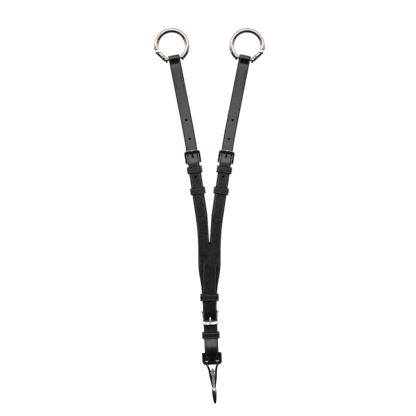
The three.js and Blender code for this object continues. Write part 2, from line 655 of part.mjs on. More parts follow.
function snapGate() {
  const { pinY, pinZ, pin } = SNAP;
  const width = 3.6;
  const lever = sideProfile([[0.2, -9.2], [1.8, -9.4], [5.6, -13], [5.4, -16.5], [-2.6, -41.2], [-5.2, -41.8],
    [-5.8, -40.8], [0.6, -15.5]], width);
  const position = lever.attributes.position;
  for (let i = 0; i < position.count; i++) {
    const narrow = THREE.MathUtils.clamp(THREE.MathUtils.mapLinear(position.getZ(i), -15.4, -9, 1, 0.45), 0.45, 1);
    position.setX(i, position.getX(i) * narrow);
  }
  const boss = rod([-width / 2, pinY, pinZ], [width / 2, pinY, pinZ], 3.2, 20);
  const pocket = joined(rod([-1.15, pinY, pinZ], [1.15, pinY, pinZ], 2.6, 20),
    new THREE.BoxGeometry(2.3, 8, 4.4).translate(0, pinY + 4, pinZ));
  const hole = solid(rod([-6, pinY, pinZ], [6, pinY, pinZ], pin + GAP, 16));
  return geometryOf(joined(lever, boss).subtract(pocket).subtract(hole));
}

function snapHook() {
  const group = frameGroup(lowerLine, SNAP_BAR_AT, SNAP_Y);
  group.rotation.y = -SNAP_LEAN;
  const { pinY, pinZ, pin } = SNAP;
  const spring = coil(1.85, 0.25, 3, 1.5).rotateZ(-Math.PI / 2).translate(-0.75, pinY, pinZ);
  group.add(
    piece('snap_body', snapBody(), 'silver'),
    piece('snap_gate', snapGate(), 'silver'),
    piece('snap_gate_pin', rod([-6.2, pinY, pinZ], [6.2, pinY, pinZ], pin, 14), 'silver'),
    piece('snap_gate_spring', spring, 'silver'),
  );
  return group;
}

// ---- assembly --------------------------------------------------------------------------------------------------

const armKeeper = { halfWidth: YOKE.armWidth / 2 + RUN, front: -UPPER.thick - 2 * GAP,
  back: YOKE.thick + YOKE.skived + 2 * GAP };
const FOLD_BULGE = 1.4;                  // the fold's swell behind the keeper next to the buckle
const tailKeeper = { halfWidth: 11.5, front: -LOWER.thick - 2 * GAP, back: YOKE.thick + YOKE.skived + 2 * GAP };
const dropKeeper = {
  halfWidth: LOWER.width / 2 + 2 * RUN,
  front: dropY(DROP_KEEPER_AT - KEEPER.height / 2) - LOWER.thick / 2 - GAP - 0.1,
  back: dropY(DROP_KEEPER_AT + KEEPER.height / 2) + LOWER.thick / 2 + LOWER.skived + 2 * GAP + 0.3,
};

const drawing = new THREE.Group();
drawing.add(yoke(), lowerStrap(), snapSafe(), snapHook());
for (const [name, side] of [['left', -1], ['right', 1]]) {
  const line = armLine(side);
  const { halfWidth, front, back } = armKeeper;
  drawing.add(
    upperStrap(`${name}_strap`, side),
    buckle(`${name}_buckle`, line, UPPER_HEEL_AT, UPPER_BUCKLE, HEEL_Y.upper, 'bronze', false),
    keeper(`${name}_keeper`, line, KEEPER_AT, halfWidth, front, back + FOLD_BULGE),
    keeper(`${name}_runner`, line, RUNNER_AT, halfWidth, front, back),
    ringParts(name, side),
  );
}
drawing.add(
  buckle('lower_buckle', lowerLine, LOWER_HEEL_AT, LOWER_BUCKLE, HEEL_Y.lower, 'silver', true),
  keeper('tail_keeper', lowerLine, TAIL_KEEPER_AT, tailKeeper.halfWidth, tailKeeper.front, tailKeeper.back),
  keeper('drop_keeper', lowerLine, DROP_KEEPER_AT, dropKeeper.halfWidth, dropKeeper.front, dropKeeper.back),
);

// The origin moves from the drawing frame to the middle of the line between the ring centres.
drawing.position.set(0, -RING_Y, -armLine(1)(RING_BAR_AT + RING.barDrop).z);

const martingale = new THREE.Group();
martingale.add(drawing);
export default martingale;
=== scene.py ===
"""A leather martingale fork with rose-plated gate rings, bronze buckles and a nickel snap, on a pale stage.

Shapes are worked out in millimetres in a drawing frame: X to the right of the front view, Y to the back,
Z up, with the front face of the yoke at Y = 0. to_row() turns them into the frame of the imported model.
"""
from collections import namedtuple
from math import acos, asin, ceil, copysign, cos, pi, radians, sin, sqrt

import bmesh
import bpy
from mathutils import Matrix, Vector


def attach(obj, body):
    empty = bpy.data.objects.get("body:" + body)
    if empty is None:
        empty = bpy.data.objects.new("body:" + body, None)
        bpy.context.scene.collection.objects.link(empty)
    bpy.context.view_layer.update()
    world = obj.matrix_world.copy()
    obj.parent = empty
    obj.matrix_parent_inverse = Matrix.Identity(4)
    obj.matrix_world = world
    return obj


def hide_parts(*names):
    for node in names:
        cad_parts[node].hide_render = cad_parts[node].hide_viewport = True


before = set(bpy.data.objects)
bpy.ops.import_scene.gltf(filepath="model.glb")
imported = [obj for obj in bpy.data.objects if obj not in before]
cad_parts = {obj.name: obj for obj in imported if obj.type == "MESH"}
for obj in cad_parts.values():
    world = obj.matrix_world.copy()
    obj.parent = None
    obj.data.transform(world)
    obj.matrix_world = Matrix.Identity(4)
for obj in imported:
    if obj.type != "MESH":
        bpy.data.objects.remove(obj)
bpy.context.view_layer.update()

# ---- driving dimensions, within about 1.5 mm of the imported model's ----

GAP = 0.3
BAR_RELIEF = 1.2
RING_Y = 8.0
SNAP_Y = 4.0

ARM_TILT = radians(8.5)
STRAP_TILT = radians(11.1)
TAIL_LEAN = radians(2.5)
SNAP_LEAN = radians(4.2)
TAIL_BEND_Z = -74.0
TAIL_BEND_HALF = 15.0

YOKE_THICK, YOKE_SKIVED = 3.5, 2.0
ARM_WIDTH, HALF_BODY, HALF_TAIL = 17.6, 16.4, 10.4
SLIT_Z, SLIT_HALF = 10.0, 0.12
UPPER_WIDTH, UPPER_THICK, UPPER_SKIVED = 16.7, 3.0, 2.7
LOWER_WIDTH, LOWER_WAIST, LOWER_THICK, LOWER_SKIVED = 20.5, 12.0, 3.2, 1.8
HOLE_PITCH = 27.9
KEEPER_WALL, KEEPER_HEIGHT, KEEPER_CORNER = 2.0, 10.0, 1.7
KEEPER_BUTT = (0.12, 0.3, 0.8)
UPPER_HOLE, LOWER_HOLE, SLIT_HOLE = 1.7, 1.8, 1.75

# Names that end in _AT here are places along a strap's line, measured upwards from its bend.
RING_BAR_AT, PINCH_AT, UPPER_TIP_AT, UPPER_HEEL_AT, UPPER_HOLE_AT = 119.0, 111.5, -123.7, -34.6, -28.0
RUN_START_AT, RUN_STOP_AT, RUN_BOW, UPPER_END_AT, UPPER_EASED_AT = -19.0, 106.0, 0.28, 73.0, 98.0
KEEPER_AT, RUNNER_AT = -45.5, -76.3
LOWER_TIP_AT, LOWER_HEEL_AT, LOWER_HOLE_AT = 63.0, -15.0, -22.5
TAIL_KEEPER_AT, DROP_TURN_AT, DROP_KEEPER_AT, CREST_AT, SNAP_BAR_AT = 5.8, -43.5, -49.0, -71.0, -87.3
WAIST_START_AT, WAIST_STOP_AT, LOWER_END_AT = -76.0, -83.5, -45.0
SAFE_HALF, SAFE_NECK, SAFE_THICK, SAFE_CORNER = 14.5, 7.5, 2.4, 5.0
SAFE_TOP, SAFE_BOTTOM, SAFE_NECK_AT, SAFE_NECK_TOP = -74.6, -92.9, -68.0, -56.5

RING_RADIUS, RING_WIRE, RING_BAR = 22.4, 3.4, 2.2
BAR_DROP, COLLAR_AT, COLLAR = 18.9, 11.7, 4.4
PIN_ANGLE = radians(193.5)
LAP_SHOULDER, LAP_TIP, LAP_SEAM = 18.6, 26.6, 0.4
GATE_PIN, KNUCKLE, KNUCKLE_HALF, SLOT_HALF = 1.2, 3.2, 1.45, 1.75

BuckleSize = namedtuple("BuckleSize", "opening outer reach front thick bar corner front_y")
UPPER_BUCKLE = BuckleSize(17.1, 23.3, 16.4, 4.4, 2.6, 1.5, 4.2, -1.75)
LOWER_BUCKLE = BuckleSize(21.2, 28.2, 17.4, 5.0, 3.0, 1.8, 7.2, -2.1)
UPPER_HEEL_Y = YOKE_SKIVED + GAP + UPPER_BUCKLE.bar
LOWER_HEEL_Y = YOKE_SKIVED + GAP + LOWER_BUCKLE.bar
TONGUE_WALL, TONGUE_LIFTS = 1.2, (0.0, 3.0, 6.0)
SNAP_EYE_BAR = 1.8

# ---- leather finish sizes ----

EDGE_RADIUS = 0.8
CREASE_IN = 1.9
CREASE_HALF = 0.6
CREASE_DEPTH = 0.4
STEP = 2.0
FREE_END = (0.0, 0.06, 0.22, 0.46, 0.8)
STITCH_PITCH, STITCH_IN, STITCH_LEAN = 3.0, 3.3, 0.06
STITCH_SIZE = (0.55, 0.35, 1.2, 1)
SHARP_ANGLE, METAL_SHARP = 38.0, 50.0

UP_Y = Vector((0.0, 1.0, 0.0))


# ---- lines and routes ----

def centreline(x, z, below, above, half):
    """A strap's line in the front view: straight, one slight bend about s = 0, then straight."""
    radius = 2 * half / (above - below)
    start_x = x - half * sin(below)
    start_z = z - half * cos(below)

    def at(s):
        turned = min(max(s + half, 0.0), 2 * half)
        angle = below + turned / radius
        rest = s + half - turned
        place_x = start_x + radius * (cos(below) - cos(angle)) + rest * sin(angle)
        place_z = start_z + radius * (sin(angle) - sin(below)) + rest * cos(angle)
        return place_x, place_z, angle
    return at


def arm_line(side):
    return centreline(side * 28.1, 161.0, side * ARM_TILT, side * STRAP_TILT, 20.0)


LOWER_LINE = centreline(0.0, TAIL_BEND_Z, -TAIL_LEAN, 0.0, TAIL_BEND_HALF)
ORIGIN_Z = arm_line(1)(RING_BAR_AT + BAR_DROP)[1]


def to_row(point):
    return Vector((point.x, point.y - RING_Y, point.z - ORIGIN_Z)) * 0.001


def line_matrix(line, s, y=0.0):
    x, z, angle = line(s)
    return Matrix.Translation((x, y, z)) @ Matrix.Rotation(angle, 4, "Y")


def lerp(a, b, share):
    return a + (b - a) * share


def map_linear(x, x0, x1, y0, y1):
    return y0 + (x - x0) * (y1 - y0) / (x1 - x0)


def clamp(x, low, high):
    return min(max(x, low), high)


def share_of(x, start, end):
    """How far x has come from start to end, from 0 to 1."""
    return clamp((x - start) / (end - start), 0.0, 1.0)


def turns(count):
    """Angles evenly round a full turn."""
    return [2 * pi * k / count for k in range(count)]


def bezier(p0, p1, p2, p3, u):
    v = 1 - u
    return v ** 3 * p0 + 3 * v * v * u * p1 + 3 * v * u * u * p2 + u ** 3 * p3


def route(corners):
    """Corners (s, y, thickness, ease) with each corner rounded from `ease` before it to `ease` after it."""
    steps = 6
    points = []
    for i, corner in enumerate(corners):
        place = Vector(corner[:3])
        ease = corner[3] if len(corner) > 3 else 0.0
        if not ease:
            points.append(place)
            continue
        before, after = (Vector(corners[j][:3]) for j in (i - 1, i + 1))
        start = place.lerp(before, ease / (before.xy - place.xy).length)
        end = place.lerp(after, ease / (after.xy - place.xy).length)
        for k in range(steps + 1):
            u = k / steps
            points.append((1 - u) ** 2 * start + 2 * u * (1 - u) * place + u * u * end)
    return points


def fold(s, y, radius, first, last, thick):
    """Points of a fold round a bar at (s, y), in degrees; 0 points up the line."""
    steps = 16
    angles = [radians(lerp(first, last, k / steps)) for k in range(steps + 1)]
    return [(s + radius * cos(a), y + radius * sin(a), thick) for a in angles]


def resampled(points):
    """The route's own points, and more so that no gap is over STEP, with close ones at both free ends."""
    reach = [0.0]
    for a, b in zip(points, points[1:]):
        reach.append(reach[-1] + (b.xy - a.xy).length)
    total = reach[-1]
    wanted = set(reach) | set(FREE_END) | {total - d for d in FREE_END}
    wanted |= {total * k / ceil(total / STEP) for k in range(ceil(total / STEP))}
    kept = []
    for d in sorted(wanted):
        if not kept or d - kept[-1] > 0.03:
            kept.append(d)
    samples = []
    i = 0
    for d in kept:
        while i < len(points) - 2 and d > reach[i + 1]:
            i += 1
        share = (d - reach[i]) / max(reach[i + 1] - reach[i], 1e-9)
        samples.append((points[i].lerp(points[i + 1], clamp(share, 0.0, 1.0)), min(d, total - d)))
    return samples


# ---- meshes ----

def make_object(name, vertices, faces, materials, indices=None, sharp=SHARP_ANGLE):
    """An object from drawing-frame vertices, with edges sharper than `sharp` degrees kept crisp."""
    mesh = bpy.data.meshes.new(name)
    mesh.from_pydata([to_row(v) for v in vertices], [], faces)
    for material in materials:
        mesh.materials.append(material)
    if indices:
        mesh.polygons.foreach_set("material_index", indices)
    obj = bpy.data.objects.new(name, mesh)
    bpy.context.scene.collection.objects.link(obj)
    clean(obj, sharp)
    return obj


def clean(obj, sharp=SHARP_ANGLE):
    work = bmesh.new()
    work.from_mesh(obj.data)
    bmesh.ops.remove_doubles(work, verts=work.verts, dist=2e-6)
    bmesh.ops.recalc_face_normals(work, faces=work.faces)
    for face in work.faces:
        face.smooth = True
    for edge in work.edges:
        edge.smooth = edge.calc_face_angle(0.0) < radians(sharp)
    work.to_mesh(obj.data)
    work.free()


def skin(rings, closed=False, capped=True):
    """Faces between rings of points that all have the same count."""
    count = len(rings[0])
    vertices = [point for ring in rings for point in ring]
    faces = []
    last = len(rings) if closed else len(rings) - 1
    for i in range(last):
        a, b = i * count, (i + 1) % len(rings) * count
        faces += [(a + j, a + (j + 1) % count, b + (j + 1) % count, b + j) for j in range(count)]
    if capped and not closed:
        faces.append(tuple(range(count))[::-1])
        faces.append(tuple(range(last * count, (last + 1) * count)))
    return vertices, faces


def joined(shells, place=None):
    """Several (vertices, faces) shells as one, moved by a matrix."""
    vertices, faces = [], []
    for shell_vertices, shell_faces in shells:
        shift = len(vertices)
        vertices += [place @ v if place else v for v in shell_vertices]
        faces += [tuple(i + shift for i in face) for face in shell_faces]
    return vertices, faces


def shape_object(name, shells, place, material, sharp=SHARP_ANGLE):
    """An object of one material from shells, moved by a matrix."""
    vertices, faces = joined(shells, place)
    return make_object(name, vertices, faces, [material], sharp=sharp)


def apply_modifiers(obj):
    dependencies = bpy.context.evaluated_depsgraph_get()
    mesh = bpy.data.meshes.new_from_object(obj.evaluated_get(dependencies))
    obj.modifiers.clear()
    obj.data = mesh


def cut(obj, cutters, tangled=False):
    """Takes the cutters, objects themselves, out of an object and leaves their material on the cut faces.

    `tangled` is for a strip that touches itself.
    """
    for cutter in cutters:
        modifier = obj.modifiers.new("cut", "BOOLEAN")
        modifier.operation = "DIFFERENCE"
        modifier.solver = "EXACT"
        modifier.material_mode = "TRANSFER"
        modifier.use_self = tangled
        modifier.object = cutter
    bpy.context.view_layer.update()
    apply_modifiers(obj)
    for cutter in cutters:
        bpy.data.objects.remove(cutter)
    clean(obj)
    return obj


def merge(objects):
    """Joins the other objects' meshes into the first."""
    work = bmesh.new()
    for obj in objects:
        work.from_mesh(obj.data)
    work.to_mesh(objects[0].data)
    work.free()
    for obj in objects[1:]:
        bpy.data.objects.remove(obj)


def soften(obj, width, segments=2):
    """Rounds the crisp edges by `width` millimetres."""
    modifier = obj.modifiers.new("soften", "BEVEL")
    modifier.width = width * 0.001
    modifier.segments = segments
    modifier.limit_method = "ANGLE"
    modifier.angle_limit = radians(SHARP_ANGLE)
    bpy.context.view_layer.update()
    apply_modifiers(obj)
    clean(obj, METAL_SHARP)
    return obj


def lathe(start, end, profile, sides=40):
    """A turned shape from start to end; the profile holds (distance from start, radius)."""
    axis = (end - start).normalized()
    across = axis.orthogonal().normalized()
    other = axis.cross(across)
    rings = []
    for distance, radius in profile:
        centre = start + axis * distance
        rings.append([centre + radius * (across * cos(t) + other * sin(t)) for t in turns(sides)])
    return skin(rings)


def disc(centre, radius, half_depth, sides=96):
    reach = UP_Y * half_depth
    return lathe(centre - reach, centre + reach, [(0.0, radius), (2 * half_depth, radius)], sides)


def round_bar(start, end, radius, ease=0.5, sides=40):
    """A bar with rounded-over ends."""
    length = (end - start).length
    arc = [(ease * (1 - cos(a)), radius - ease * (1 - sin(a)))
           for a in (0.0, pi / 6, pi / 3, pi / 2)]
    profile = arc + [(length - d, r) for d, r in reversed(arc)]
    return lathe(start, end, profile, sides)


def tube(points, radii, sides=24, squeeze=None):
    """A tube along points, with a radius at each; `squeeze` scales X at each point."""
    rings = []
    normal = None
    for i, point in enumerate(points):
        along = (points[min(i + 1, len(points) - 1)] - points[max(i - 1, 0)]).normalized()
        normal = along.orthogonal() if normal is None else normal - along * normal.dot(along)
        normal.normalize()
        other = along.cross(normal)
        ring = []
        for turn in turns(sides):
            offset = radii[i] * (normal * cos(turn) + other * sin(turn))
            if squeeze:
                offset.x *= squeeze[i]
            ring.append(point + offset)
        rings.append(ring)
    return skin(rings)


def ball(centre, radius):
    rings = []
    for polar in (pi * i / 12 for i in range(1, 12)):
        rings.append([centre + radius * Vector((sin(polar) * cos(t), sin(polar) * sin(t), cos(polar)))
                      for t in turns(24)])
    return skin(rings)


def catmull(points, steps):
    """A smooth curve through the points."""
    ends = [2 * points[0] - points[1]] + points + [2 * points[-1] - points[-2]]
    curve = []
    for i in range(1, len(ends) - 2):
        a, b, c, d = ends[i - 1:i + 3]
        for k in range(steps):
            u = k / steps
            curve.append(0.5 * (2 * b + (c - a) * u + (2 * a - 5 * b + 4 * c - d) * u ** 2
                                + (3 * b - 3 * c + d - a) * u ** 3))
    curve.append(points[-1])
    return curve


# ---- materials ----

def feed(tree, socket, value):
    """Links an output to the socket, or sets a plain value on it."""
    if isinstance(value, bpy.types.NodeSocket):
        tree.links.new(value, socket)
    else:
        socket.default_value = value


def fill(tree, node, **inputs):
    for name, value in inputs.items():
        feed(tree, node.inputs[name.replace("_", " ")], value)
    return node


def new_node(tree, kind, **inputs):
    return fill(tree, tree.nodes.new(f"ShaderNode{kind}"), **inputs)


def new_material(name, colour, roughness, metallic=0.0, **sockets):
    material = bpy.data.materials.new(name)
    material.use_nodes = True
    return dress(material, Base_Color=(*colour, 1.0), Roughness=roughness, Metallic=metallic, **sockets)


def dress(material, **sockets):
    """Sets the sockets of a material's shader, or links outputs to them."""
    fill(material.node_tree, material.node_tree.nodes["Principled BSDF"], **sockets)
    return material


def noise(tree, scale, detail=4.0, stretch=None):
    """A noise texture in the object's own coordinates."""
    source = new_node(tree, "TexCoord").outputs["Object"]
    if stretch:
        source = new_node(tree, "Mapping", Vector=source, Scale=stretch).outputs["Vector"]
    return new_node(tree, "TexNoise", Vector=source, Scale=scale, Detail=detail).outputs["Fac"]


def ramp(tree, source, stops):
    """The source turned into colours or grey values at stops of (position, value)."""
    node = new_node(tree, "ValToRGB", Fac=source)
    elements = node.color_ramp.elements
    while len(elements) < len(stops):
        elements.new(0.5)
    for element, (position, value) in zip(elements, stops):
        element.position = position
        element.color = (*value, 1.0) if isinstance(value, tuple) else (value, value, value, 1.0)
    return node.outputs["Color"]


def spread(tree, source, low, high):
    """The middle of a noise, spread between two colours or grey values."""
    return ramp(tree, source, ((0.3, low), (0.7, high)))


def add_bump(tree, height, depth, **below):
    """A bump of `depth` millimetres, on top of another if its Normal is given."""
    return new_node(tree, "Bump", Height=height, Distance=depth * 0.001, **below).outputs["Normal"]


def leather(name, dark, light, rough, grain_depth, grain_scale=1300.0, polish=1.0):
    """Dyed leather: mottled colour, pebbled grain, fine pores and uneven polish."""
    material = new_material(name, dark, rough[0], Specular_IOR_Level=polish, IOR=1.6)
    tree = material.node_tree
    place = new_node(tree, "TexCoord").outputs["Object"]
    pebbles = new_node(tree, "TexVoronoi", Vector=place, Scale=grain_scale)
    pebbles.feature = "SMOOTH_F1"
    broad = add_bump(tree, noise(tree, 240.0, 3.0), grain_depth * 2.0)
    return dress(material, Base_Color=spread(tree, noise(tree, 90.0, 6.0), dark, light),
                 Roughness=spread(tree, noise(tree, 160.0), *rough),
                 Normal=add_bump(tree, pebbles.outputs["Distance"], grain_depth, Normal=broad))


def plated(name, colour, shade, roughness):
    """Polished plating: slight colour drift, hairline polishing marks and smudges in the gloss."""
    material = new_material(name, colour, roughness, metallic=1.0)
    tree = material.node_tree
    return dress(material, Base_Color=spread(tree, noise(tree, 130.0), shade, colour),
                 Roughness=spread(tree, noise(tree, 420.0, 6.0), roughness * 0.7, roughness * 1.7),
                 Normal=add_bump(tree, noise(tree, 900.0, 2.0, stretch=(1.0, 1.0, 9.0)), 0.002))


def thread_material():
    """Waxed black thread with a fine twist."""
    material = new_material("thread", (0.02, 0.02, 0.021), 0.5, Specular_IOR_Level=0.2)
    tree = material.node_tree
    twist = noise(tree, 2600.0, 2.0, stretch=(1.0, 1.0, 2.5))
    return dress(material, Base_Color=spread(tree, twist, (0.012, 0.012, 0.012), (0.045, 0.045, 0.047)),
                 Normal=add_bump(tree, twist, 0.06))


GRAIN, CREASE_HIGHLIGHT, EDGE, FLESH = range(4)
LEATHERS = [
    leather("leather_grain", (0.006, 0.006, 0.0062), (0.012, 0.012, 0.0125), (0.19, 0.27), 0.015),
    # The crease grooves are coloured far lighter than the grain: a painted highlight, for the light that the
    # groove walls catch.
    leather("leather_crease_highlight", (0.085, 0.085, 0.085), (0.13, 0.13, 0.13), (0.3, 0.4), 0.005),
    leather("leather_edge", (0.003, 0.003, 0.003), (0.006, 0.006, 0.006), (0.4, 0.6), 0.02, polish=0.25),
    leather("leather_flesh", (0.020, 0.019, 0.018), (0.042, 0.040, 0.038), (0.75, 0.95), 0.09, 900.0, 0.3),
]
ROSE = plated("rose_plating", (0.90, 0.80, 0.75), (0.80, 0.70, 0.65), 0.12)
BRONZE = plated("bronze_plating", (0.72, 0.60, 0.50), (0.60, 0.47, 0.38), 0.14)
NICKEL = plated("nickel_plating", (0.76, 0.76, 0.76), (0.68, 0.68, 0.69), 0.09)
SATIN = plated("satin_nickel", (0.34, 0.34, 0.34), (0.28, 0.28, 0.28), 0.3)
STEEL = plated("spring_steel", (0.60, 0.60, 0.62), (0.45, 0.45, 0.47), 0.3)
# Dark for the cut faces in the rings: the lap joint, the gate's end and the knuckle slot. Painted shade,
# standing in for the dark inside the seams.
SEAM_SHADE = new_material("painted_seam_shade", (0.03, 0.025, 0.022), 0.8, Specular_IOR_Level=0.2)
THREAD = thread_material()
# Flat black for the walls of holes, slots and tunnels and for the sheets left across holes: painted shade,
# standing in for the dark inside them.
HOLE_SHADE = new_material("painted_hole_shade", (0.002, 0.002, 0.002), 1.0, Specular_IOR_Level=0.0)


# Unless another material is given, the cut faces take the dark seam material: painted shade for the rings'
# seams.
def blade(shells, place=None, material=SEAM_SHADE):
    """A shape to cut with, in the material of the faces that it leaves."""
    return shape_object("cutter", shells, place, material)


# ---- leather strips ----

Station = namedtuple("Station", "centre across normal half thick drop")


def end_drop(distance, radius=EDGE_RADIUS):
    """How far the rounded free end lies below the full thickness, at a distance from the end."""
    inward = clamp(1 - distance / radius, -1.0, 1.0)
    return radius * (1 - sin(acos(inward))) if distance < radius else 0.0


# The groove's walls and floor take the lighter crease colour: a painted highlight.
GROOVE = ((-1.0, 0.0, EDGE), (-0.5, 0.7, CREASE_HIGHLIGHT), (0.0, 1.0, CREASE_HIGHLIGHT), (0.5, 0.7, CREASE_HIGHLIGHT), (1.0, 0.0, GRAIN))


def edge_profile(half, thick, creased):
    """(distance from the edge, depth below the face, kind) from the edge to the middle."""
    radius = min(EDGE_RADIUS, 0.45 * thick)
    arc = [radians(a) for a in (0, 25, 50, 75, 90)]
    profile = [(radius * (1 - cos(a)), radius * (1 - sin(a)), EDGE) for a in arc]
    profile[-1] = (radius, 0.0, EDGE)
    depth = CREASE_DEPTH if creased else 0.0
    profile += [(CREASE_IN + CREASE_HALF * k, depth * d, kind) for k, d, kind in GROOVE]
    reach = CREASE_IN + 2 * CREASE_HALF
    scale = min(1.0, half / (reach + 0.4))
    profile = [(e * scale, d * scale ** 0.5, kind) for e, d, kind in profile]
    return profile + [(lerp(reach * scale, half, share), 0.0, GRAIN) for share in (0.3, 0.75)]


def leather_ring(station, inner_round=1.0):
    """The section of a strip: face side with creases, then flesh side.

    `inner_round` scales the depths along the first edge: 0 leaves it square, with no crease.
    """
    centre, across, normal, half, thick, drop = station
    face = edge_profile(half, thick, True)
    flesh = edge_profile(half, thick, False)
    high = thick / 2 - drop

    def at(e, d, side, front):
        depth = d * (inner_round if side < 0 else 1.0)
        level = max(high - depth, 0.05)
        return centre + across * side * (half - e) + normal * (level if front else -level)
    ring = [centre - across * half]
    ring += [at(e, d, -1, True) for e, d, _ in face]
    ring += [at(e, d, 1, True) for e, d, _ in reversed(face)]
    ring += [centre + across * half]
    ring += [at(e, d, 1, False) for e, d, _ in flesh]
    ring += [at(e, d, -1, False) for e, d, _ in reversed(flesh)]
    return ring


def column_kinds():
    """The leather kind of each column of faces round a section."""
    kinds = [kind for _, _, kind in edge_profile(9.0, 3.0, True)]
    face = kinds + kinds[::-1]
    flesh = [FLESH if kind in (GRAIN, CREASE_HIGHLIGHT) else EDGE for kind in face]
    points = [EDGE] + face + [EDGE] + flesh
    columns = []
    for a, b in zip(points, points[1:] + points[:1]):
        if EDGE in (a, b):
            columns.append(EDGE)
        elif a == b:
            columns.append(a)
        else:
            columns.append(GRAIN)
    return columns


COLUMNS = column_kinds()


def strip_shell(rings):
    vertices, faces = skin(rings)
    indices = COLUMNS * (len(rings) - 1) + [EDGE, EDGE]
    return vertices, faces, indices


def route_stations(line, points, half_at):
    """Stations of a strip along a route of (s, y, thickness) that lies on a line."""
    samples = resampled(points)
    stations = []
    for i, (sample, to_end) in enumerate(samples):
        before = samples[max(i - 1, 0)][0]
        after = samples[min(i + 1, len(samples) - 1)][0]
        run = (after.xy - before.xy).normalized()
        s, y, thick = sample
        x, z, angle = line(s)
        along = Vector((sin(angle), 0.0, cos(angle)))
        across = Vector((cos(angle), 0.0, -sin(angle)))
        normal = along * run.y - UP_Y * run.x
        drop = end_drop(to_end, min(EDGE_RADIUS, 0.45 * thick))
        stations.append(Station(Vector((x, y, z)), across, normal, half_at(s), thick, drop))
    return stations


def tip_half(distance, half, length, bow):
    """Half the width of a pointed end, at a distance from its tip."""
    if distance >= length:
        return half
    a = length * (2 * bow - 1)
    b = 2 * length * (1 - bow)
    q = (-b + sqrt(b * b + 4 * a * max(distance, 0.02))) / (2 * a)
    return half * (1 - (1 - q) ** 2)


def tip_points(tip, direction, y, thick, length):
    """Close route points where a strap comes to its tip."""
    shares = (0.0, 0.01, 0.03, 0.07, 0.13, 0.21, 0.31, 0.43, 0.57, 0.72, 0.87, 1.0)
    return [(tip + direction * length * share, y, thick) for share in shares]


def prism(outline, front, back):
    """A closed flat outline of (x, z) points, given depth from front to back."""
    rings = [[Vector((x, y, z)) for x, z in outline] for y in (front, back)]
    return skin(rings)


def hole_cutter(line, s, middle, depth, radius):
    """A punched hole, open from both faces, with a thin sheet left across it near the flesh side; its walls
    and the sheet take flat black, painted shade that keeps the hole dark.
    """
    place = line_matrix(line, s, middle)
    reach = Vector((0.0, depth / 2 + 1.0, 0.0))
    start, end = place @ -reach, place @ reach
    from_face = [(0.0, radius * 1.15), (1.0, radius * 1.1), (1.0 + depth * 0.8, radius)]
    from_face.append((1.0 + depth * 0.85, 0.3))
    from_flesh = [(1.0 + depth * 0.93, radius * 0.6), (2.0 + depth, radius * 0.8)]
    return blade([lathe(start, end, profile, 28) for profile in (from_face, from_flesh)], material=HOLE_SHADE)


def finish_piece(obj, body, slot, *nodes):
    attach(obj, body)
    if nodes:
        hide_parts(*nodes)
    return obj


def leather_object(name, rings, cutters=(), tangled=False):
    vertices, faces, indices = strip_shell(rings)
    obj = make_object(name, vertices, faces, LEATHERS + [HOLE_SHADE], indices)
    if cutters:
        cut(obj, cutters, tangled)
    return obj


# ---- buckle geometry that the straps also need ----

def frame_tilt(size, heel_y):
    return asin((heel_y - size.front_y) / size.reach)


def tongue_curve(size, heel_y):
    """The tongue's middle line, from its eye, under the strap's face, up to its rest on the front bar."""
    tilt = frame_tilt(size, heel_y)
    bar_z = size.reach * cos(tilt)
    bar_y = size.front_y - heel_y - size.thick / 2 / cos(tilt) - GAP - TONGUE_WALL
    start = Vector((0.0, -size.bar - GAP - 1.0, 0.0))
    bend = Vector((0.0, start.y + 0.4, bar_z * 0.62))
    rest = Vector((0.0, bar_y, bar_z))
    return [start.lerp(bend, u).lerp(bend.lerp(rest, u), u) for u in (k / 12 for k in range(13))]


def buckle_matrix(line, s, heel_y, down):
    place = line_matrix(line, s, heel_y)
    return place @ Matrix.Rotation(pi, 4, "Y") if down else place


def strap_tunnels(line, s, size, heel_y, down):
    """The slanted hole that a buckle's tongue comes through, with room for the tongue to lift."""
    curve = tongue_curve(size, heel_y)
    shell = tube(curve, [1.5] * len(curve), 28, [1.15] * len(curve))
    place = buckle_matrix(line, s, heel_y, down)
    # The tunnel walls take flat black: painted shade inside the slanted hole.
    return [blade([shell], place @ Matrix.Rotation(radians(lift), 4, "X"), HOLE_SHADE) for lift in TONGUE_LIFTS]


# ---- straps ----

def upper_run_y(s):
    """Depth of the middle of the upper strap's free run."""
    behind_bar = UPPER_BUCKLE.front_y + UPPER_BUCKLE.thick / 2 + UPPER_THICK / 2 + BAR_RELIEF
    share = share_of(s, RUN_START_AT, RUN_STOP_AT)
    return lerp(behind_bar, RING_Y - (GAP + UPPER_THICK) / 2, share + RUN_BOW * sin(pi * share))


def upper_face_y(s):
    return upper_run_y(s) - UPPER_THICK / 2


def upper_back_y(s):
    """Depth where the stitches lie on the turned-back end, which thins towards its tip."""
    laid = 0.85 * lerp(1.4, 2.0, share_of(s, UPPER_END_AT, UPPER_EASED_AT))
    return upper_run_y(s) + UPPER_THICK / 2 + GAP + 0.1 + laid


